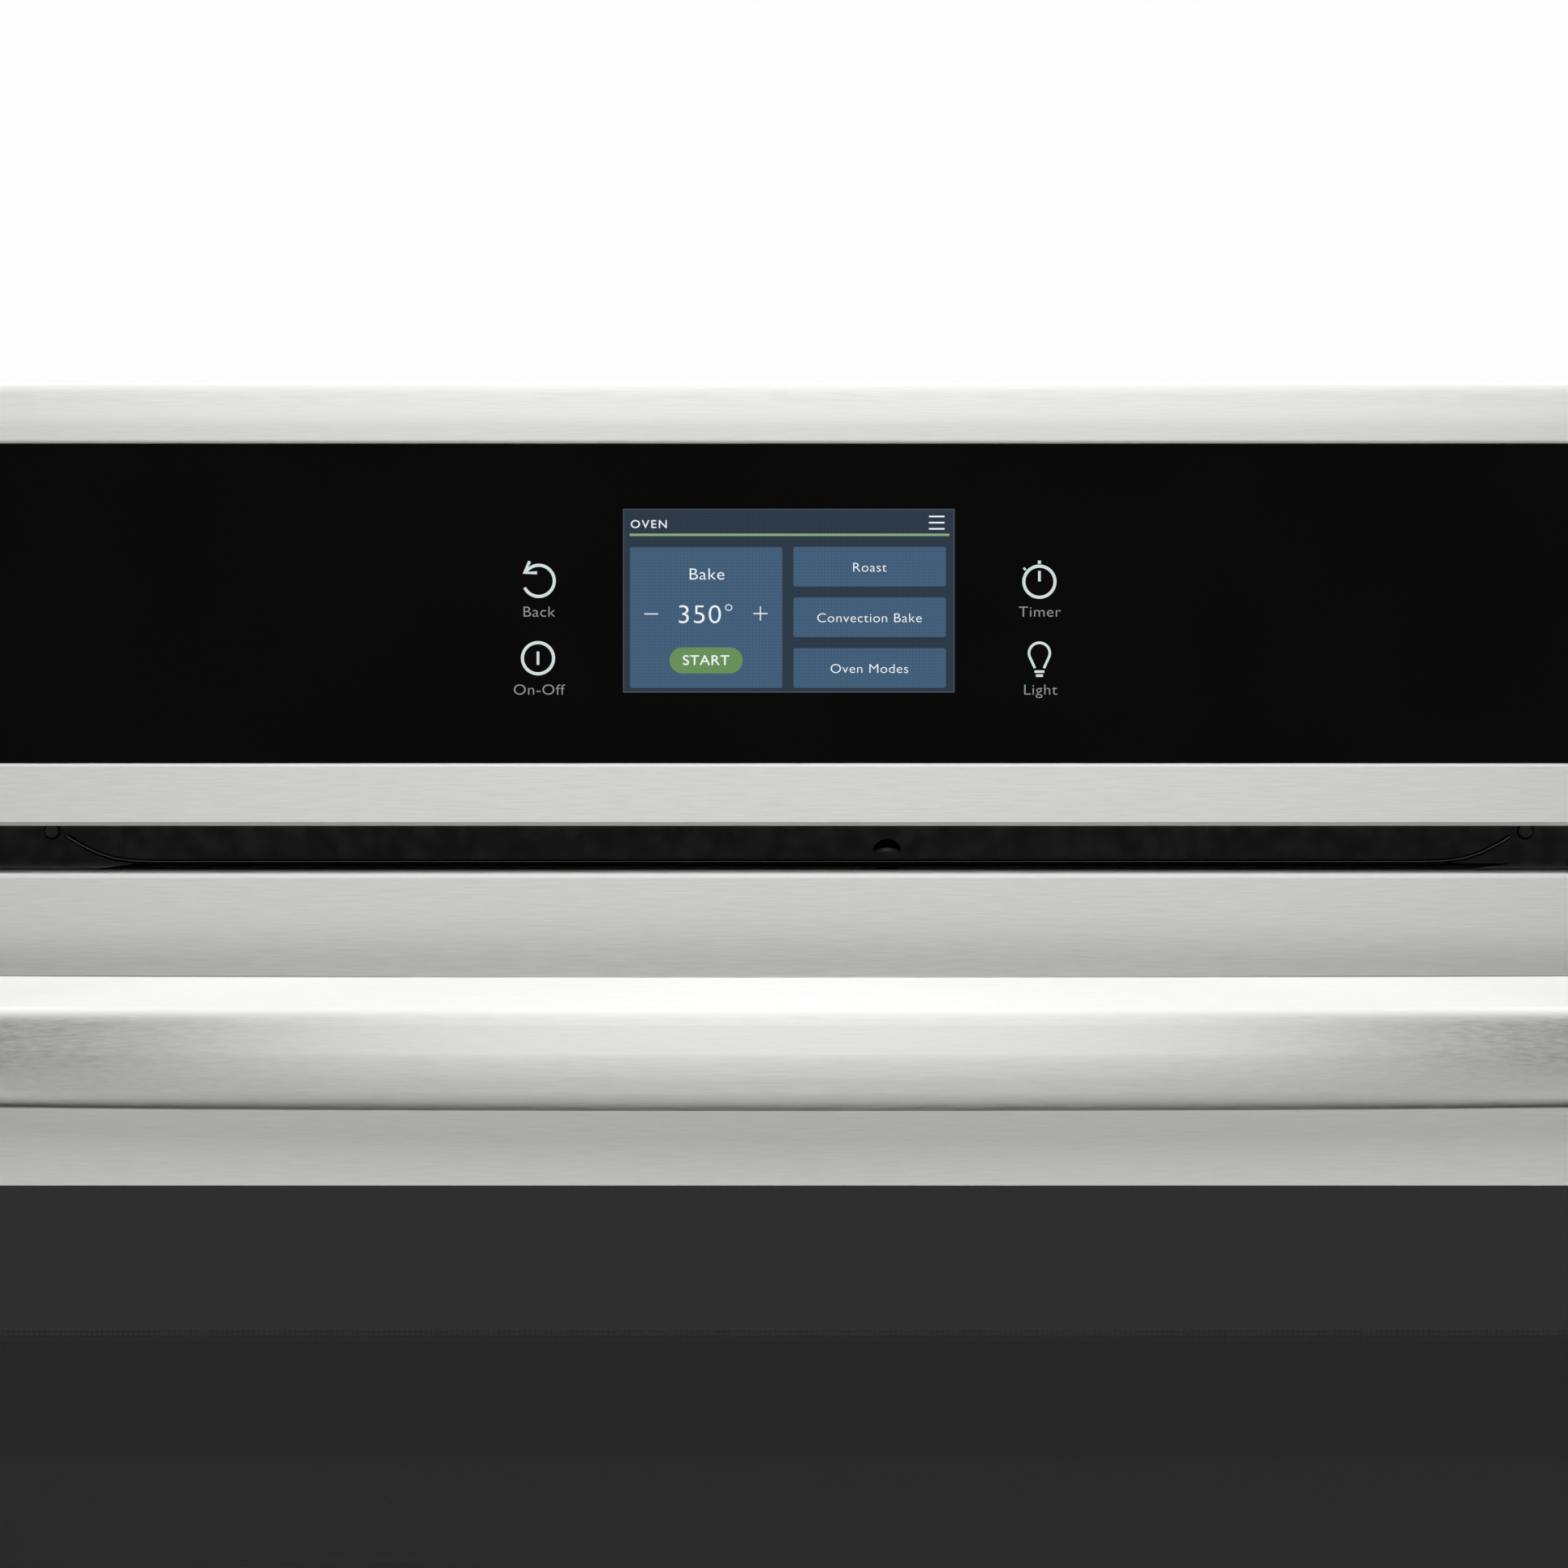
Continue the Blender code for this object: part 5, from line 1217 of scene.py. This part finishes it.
# Right half in mm, from the middle outwards: across, depth, height.
BEAD_PATH = (
    (0.0, -3.5, 600.1),
    (186.0, -3.5, 600.1),
    (193.0, -3.7, 600.3),
    (199.0, -4.3, 601.2),
    (204.0, -5.0, 603.0),
    (208.5, -5.6, 605.4),
    (212.0, -5.9, 607.6),
)


class OVEN_OT_channel_bead(OvenOperator, bpy.types.Operator):
    """Roll the raised bead along the foot of the air channel, turned up at its ends"""

    bl_idname = "oven.channel_bead"
    bl_label = "Channel bead"

    def execute(self, context):
        left = [(-x, y, z) for x, y, z in BEAD_PATH[:0:-1]]
        points = [tuple(v * MM for v in p) for p in (*left, *BEAD_PATH)]
        bm = bmesh.new()
        lay_in(bm, bar_curve(points, BEAD_RADIUS, rounding=4))
        bead = finished("channel_bead", bm, FINISHES["black_enamel"])
        place_on(bead, "chassis", "black_enamel")
        return {"FINISHED"}


# ------------------------------------------------------------------------- stage
FLOOR_REACH = 3.6  # from the middle to each side
FLOOR_DROP = 0.2 * MM  # below the oven's underside
ROOM_LIGHT, ROOM_SEEN = 0.08, 1.0  # strength that lights the oven, and as a backdrop
MIDDLE = (0, -0.04, 0.58)
LOWER_KEY_SHARE = 0.3  # of the upper key's power
SENSOR = 36  # mm
CAMERA_ASIDE = -0.0014


def softbox(name, place, target, size, watts):
    """A rectangular white studio light aimed at a point."""
    lamp = bpy.data.lights.new(name, "AREA")
    lamp.shape = "RECTANGLE"
    lamp.size, lamp.size_y = size
    lamp.energy = watts
    obj = bpy.data.objects.new(name, lamp)
    obj.location = place
    aim = Vector(target) - Vector(place)
    obj.rotation_euler = aim.to_track_quat("-Z", "Y").to_euler()
    bpy.context.scene.collection.objects.link(obj)


def pale_room():
    """A white backdrop that sheds only a little light of its own."""
    room = bpy.data.worlds.new("pale room")
    room.use_nodes = True
    tree = room.node_tree
    tree.nodes.clear()
    seen = add(tree, "ShaderNodeLightPath").outputs["Is Camera Ray"]
    level = add(
        tree,
        "ShaderNodeMapRange",
        {"Value": seen, "To Min": ROOM_LIGHT, "To Max": ROOM_SEEN},
    )
    light = add(
        tree,
        "ShaderNodeBackground",
        {"Color": linear("#fdfdfd"), "Strength": level.outputs["Result"]},
    )
    add(tree, "ShaderNodeOutputWorld", {"Surface": light.outputs[0]})
    return room


class OVEN_OT_stage(OvenOperator, bpy.types.Operator):
    """Set the floor, the soft lights, the pale room and the camera"""

    bl_idname = "oven.stage"
    bl_label = "Stage"

    def execute(self, context):
        studio = context.scene.wall_oven_studio
        scene = context.scene
        bm = bmesh.new()
        down = Matrix.Translation((0, 0, -FLOOR_DROP))
        bmesh.ops.create_grid(
            bm, x_segments=2, y_segments=2, size=FLOOR_REACH, matrix=down
        )
        # Matt painted studio floor.
        paint = grained(
            "matt studio floor", "#d9d8d6", studio.floor, (400, 400, 400), (0.7, 0.8)
        )
        finished("studio_floor", bm, paint)
        scene.world = pale_room()
        scene.view_settings.view_transform = "Standard"
        upper, top = studio.key_power, studio.top_power
        lower = upper * LOWER_KEY_SHARE
        for name, place, target, size, watts in (
            # Left and right are seen from the front; sizes are width and height.
            ("upper key", (0, -1.78, 1.40), (0, -0.04, 0.75), (1.35, 1.0), upper),
            ("lower key", (0, -1.80, 0.25), (0, -0.04, 0.50), (1.5, 0.46), lower),
            ("top softbox", (0, -0.25, 2.1), (0, -0.2, 0.6), (2.0, 1.4), top),
            ("left softbox", (-2.3, -0.5, 1.3), MIDDLE, (0.9, 1.6), 16),
            ("right softbox", (2.3, -0.5, 1.3), MIDDLE, (0.9, 1.6), 16),
            ("ceiling softbox", (0, 0, 5.5), (0, 0, 0), (11, 11), 160),
            ("rear softbox", (0.3, 2.6, 1.7), (0, 0.4, 0.4), (1.6, 1.2), 30),
        ):
            softbox(name, place, target, size, watts)
        camera = bpy.data.cameras.new("camera")
        camera.sensor_width = SENSOR
        camera.lens = SENSOR * studio.distance / studio.width
        holder = bpy.data.objects.new("camera", camera)
        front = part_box("door_skin")[0].y
        holder.location = (CAMERA_ASIDE, front - studio.distance, studio.height)
        holder.rotation_euler = (math.radians(90), 0, 0)
        scene.collection.objects.link(holder)
        scene.camera = holder
        return {"FINISHED"}


class OVEN_PT_sidebar(bpy.types.Panel):
    """Lists the oven's operators and settings in the sidebar"""

    bl_label = "Wall Oven"
    bl_idname = "OVEN_PT_sidebar"
    bl_space_type = "VIEW_3D"
    bl_region_type = "UI"
    bl_category = "Wall Oven"

    def draw(self, context):
        for operator in OPERATORS:
            self.layout.operator(operator.bl_idname)
        for group in SETTINGS:
            values = getattr(context.scene, group)
            for name in values.bl_rna.properties.keys():
                if name not in {"rna_type", "name"}:
                    self.layout.prop(values, name)


SETTINGS = {
    "wall_oven_screen": WallOvenScreen,
    "wall_oven_metal": WallOvenMetal,
    "wall_oven_studio": WallOvenStudio,
}
OPERATORS = (
    OVEN_OT_finishes,
    OVEN_OT_stage,
    OVEN_OT_sheet_metal,
    OVEN_OT_glass,
    OVEN_OT_screen,
    OVEN_OT_touch_keys,
    OVEN_OT_handle,
    OVEN_OT_racks,
    OVEN_OT_screws,
    OVEN_OT_vent_hood,
    OVEN_OT_channel_bead,
)


def register():
    for group in SETTINGS.values():
        bpy.utils.register_class(group)
    for operator in (*OPERATORS, OVEN_PT_sidebar):
        bpy.utils.register_class(operator)
    for name, group in SETTINGS.items():
        setattr(bpy.types.Scene, name, bpy.props.PointerProperty(type=group))


def unregister():
    for name in SETTINGS:
        delattr(bpy.types.Scene, name)
    for operator in (OVEN_PT_sidebar, *reversed(OPERATORS)):
        bpy.utils.unregister_class(operator)
    for group in SETTINGS.values():
        bpy.utils.unregister_class(group)


def main():
    register()
    bpy.ops.oven.finishes()
    bpy.ops.oven.stage()
    bpy.ops.oven.sheet_metal()
    bpy.ops.oven.glass()
    bpy.ops.oven.screen()
    bpy.ops.oven.touch_keys()
    bpy.ops.oven.handle()
    bpy.ops.oven.racks()
    bpy.ops.oven.screws()
    bpy.ops.oven.vent_hood()
    bpy.ops.oven.channel_bead()


if __name__ == "__main__":
    main()
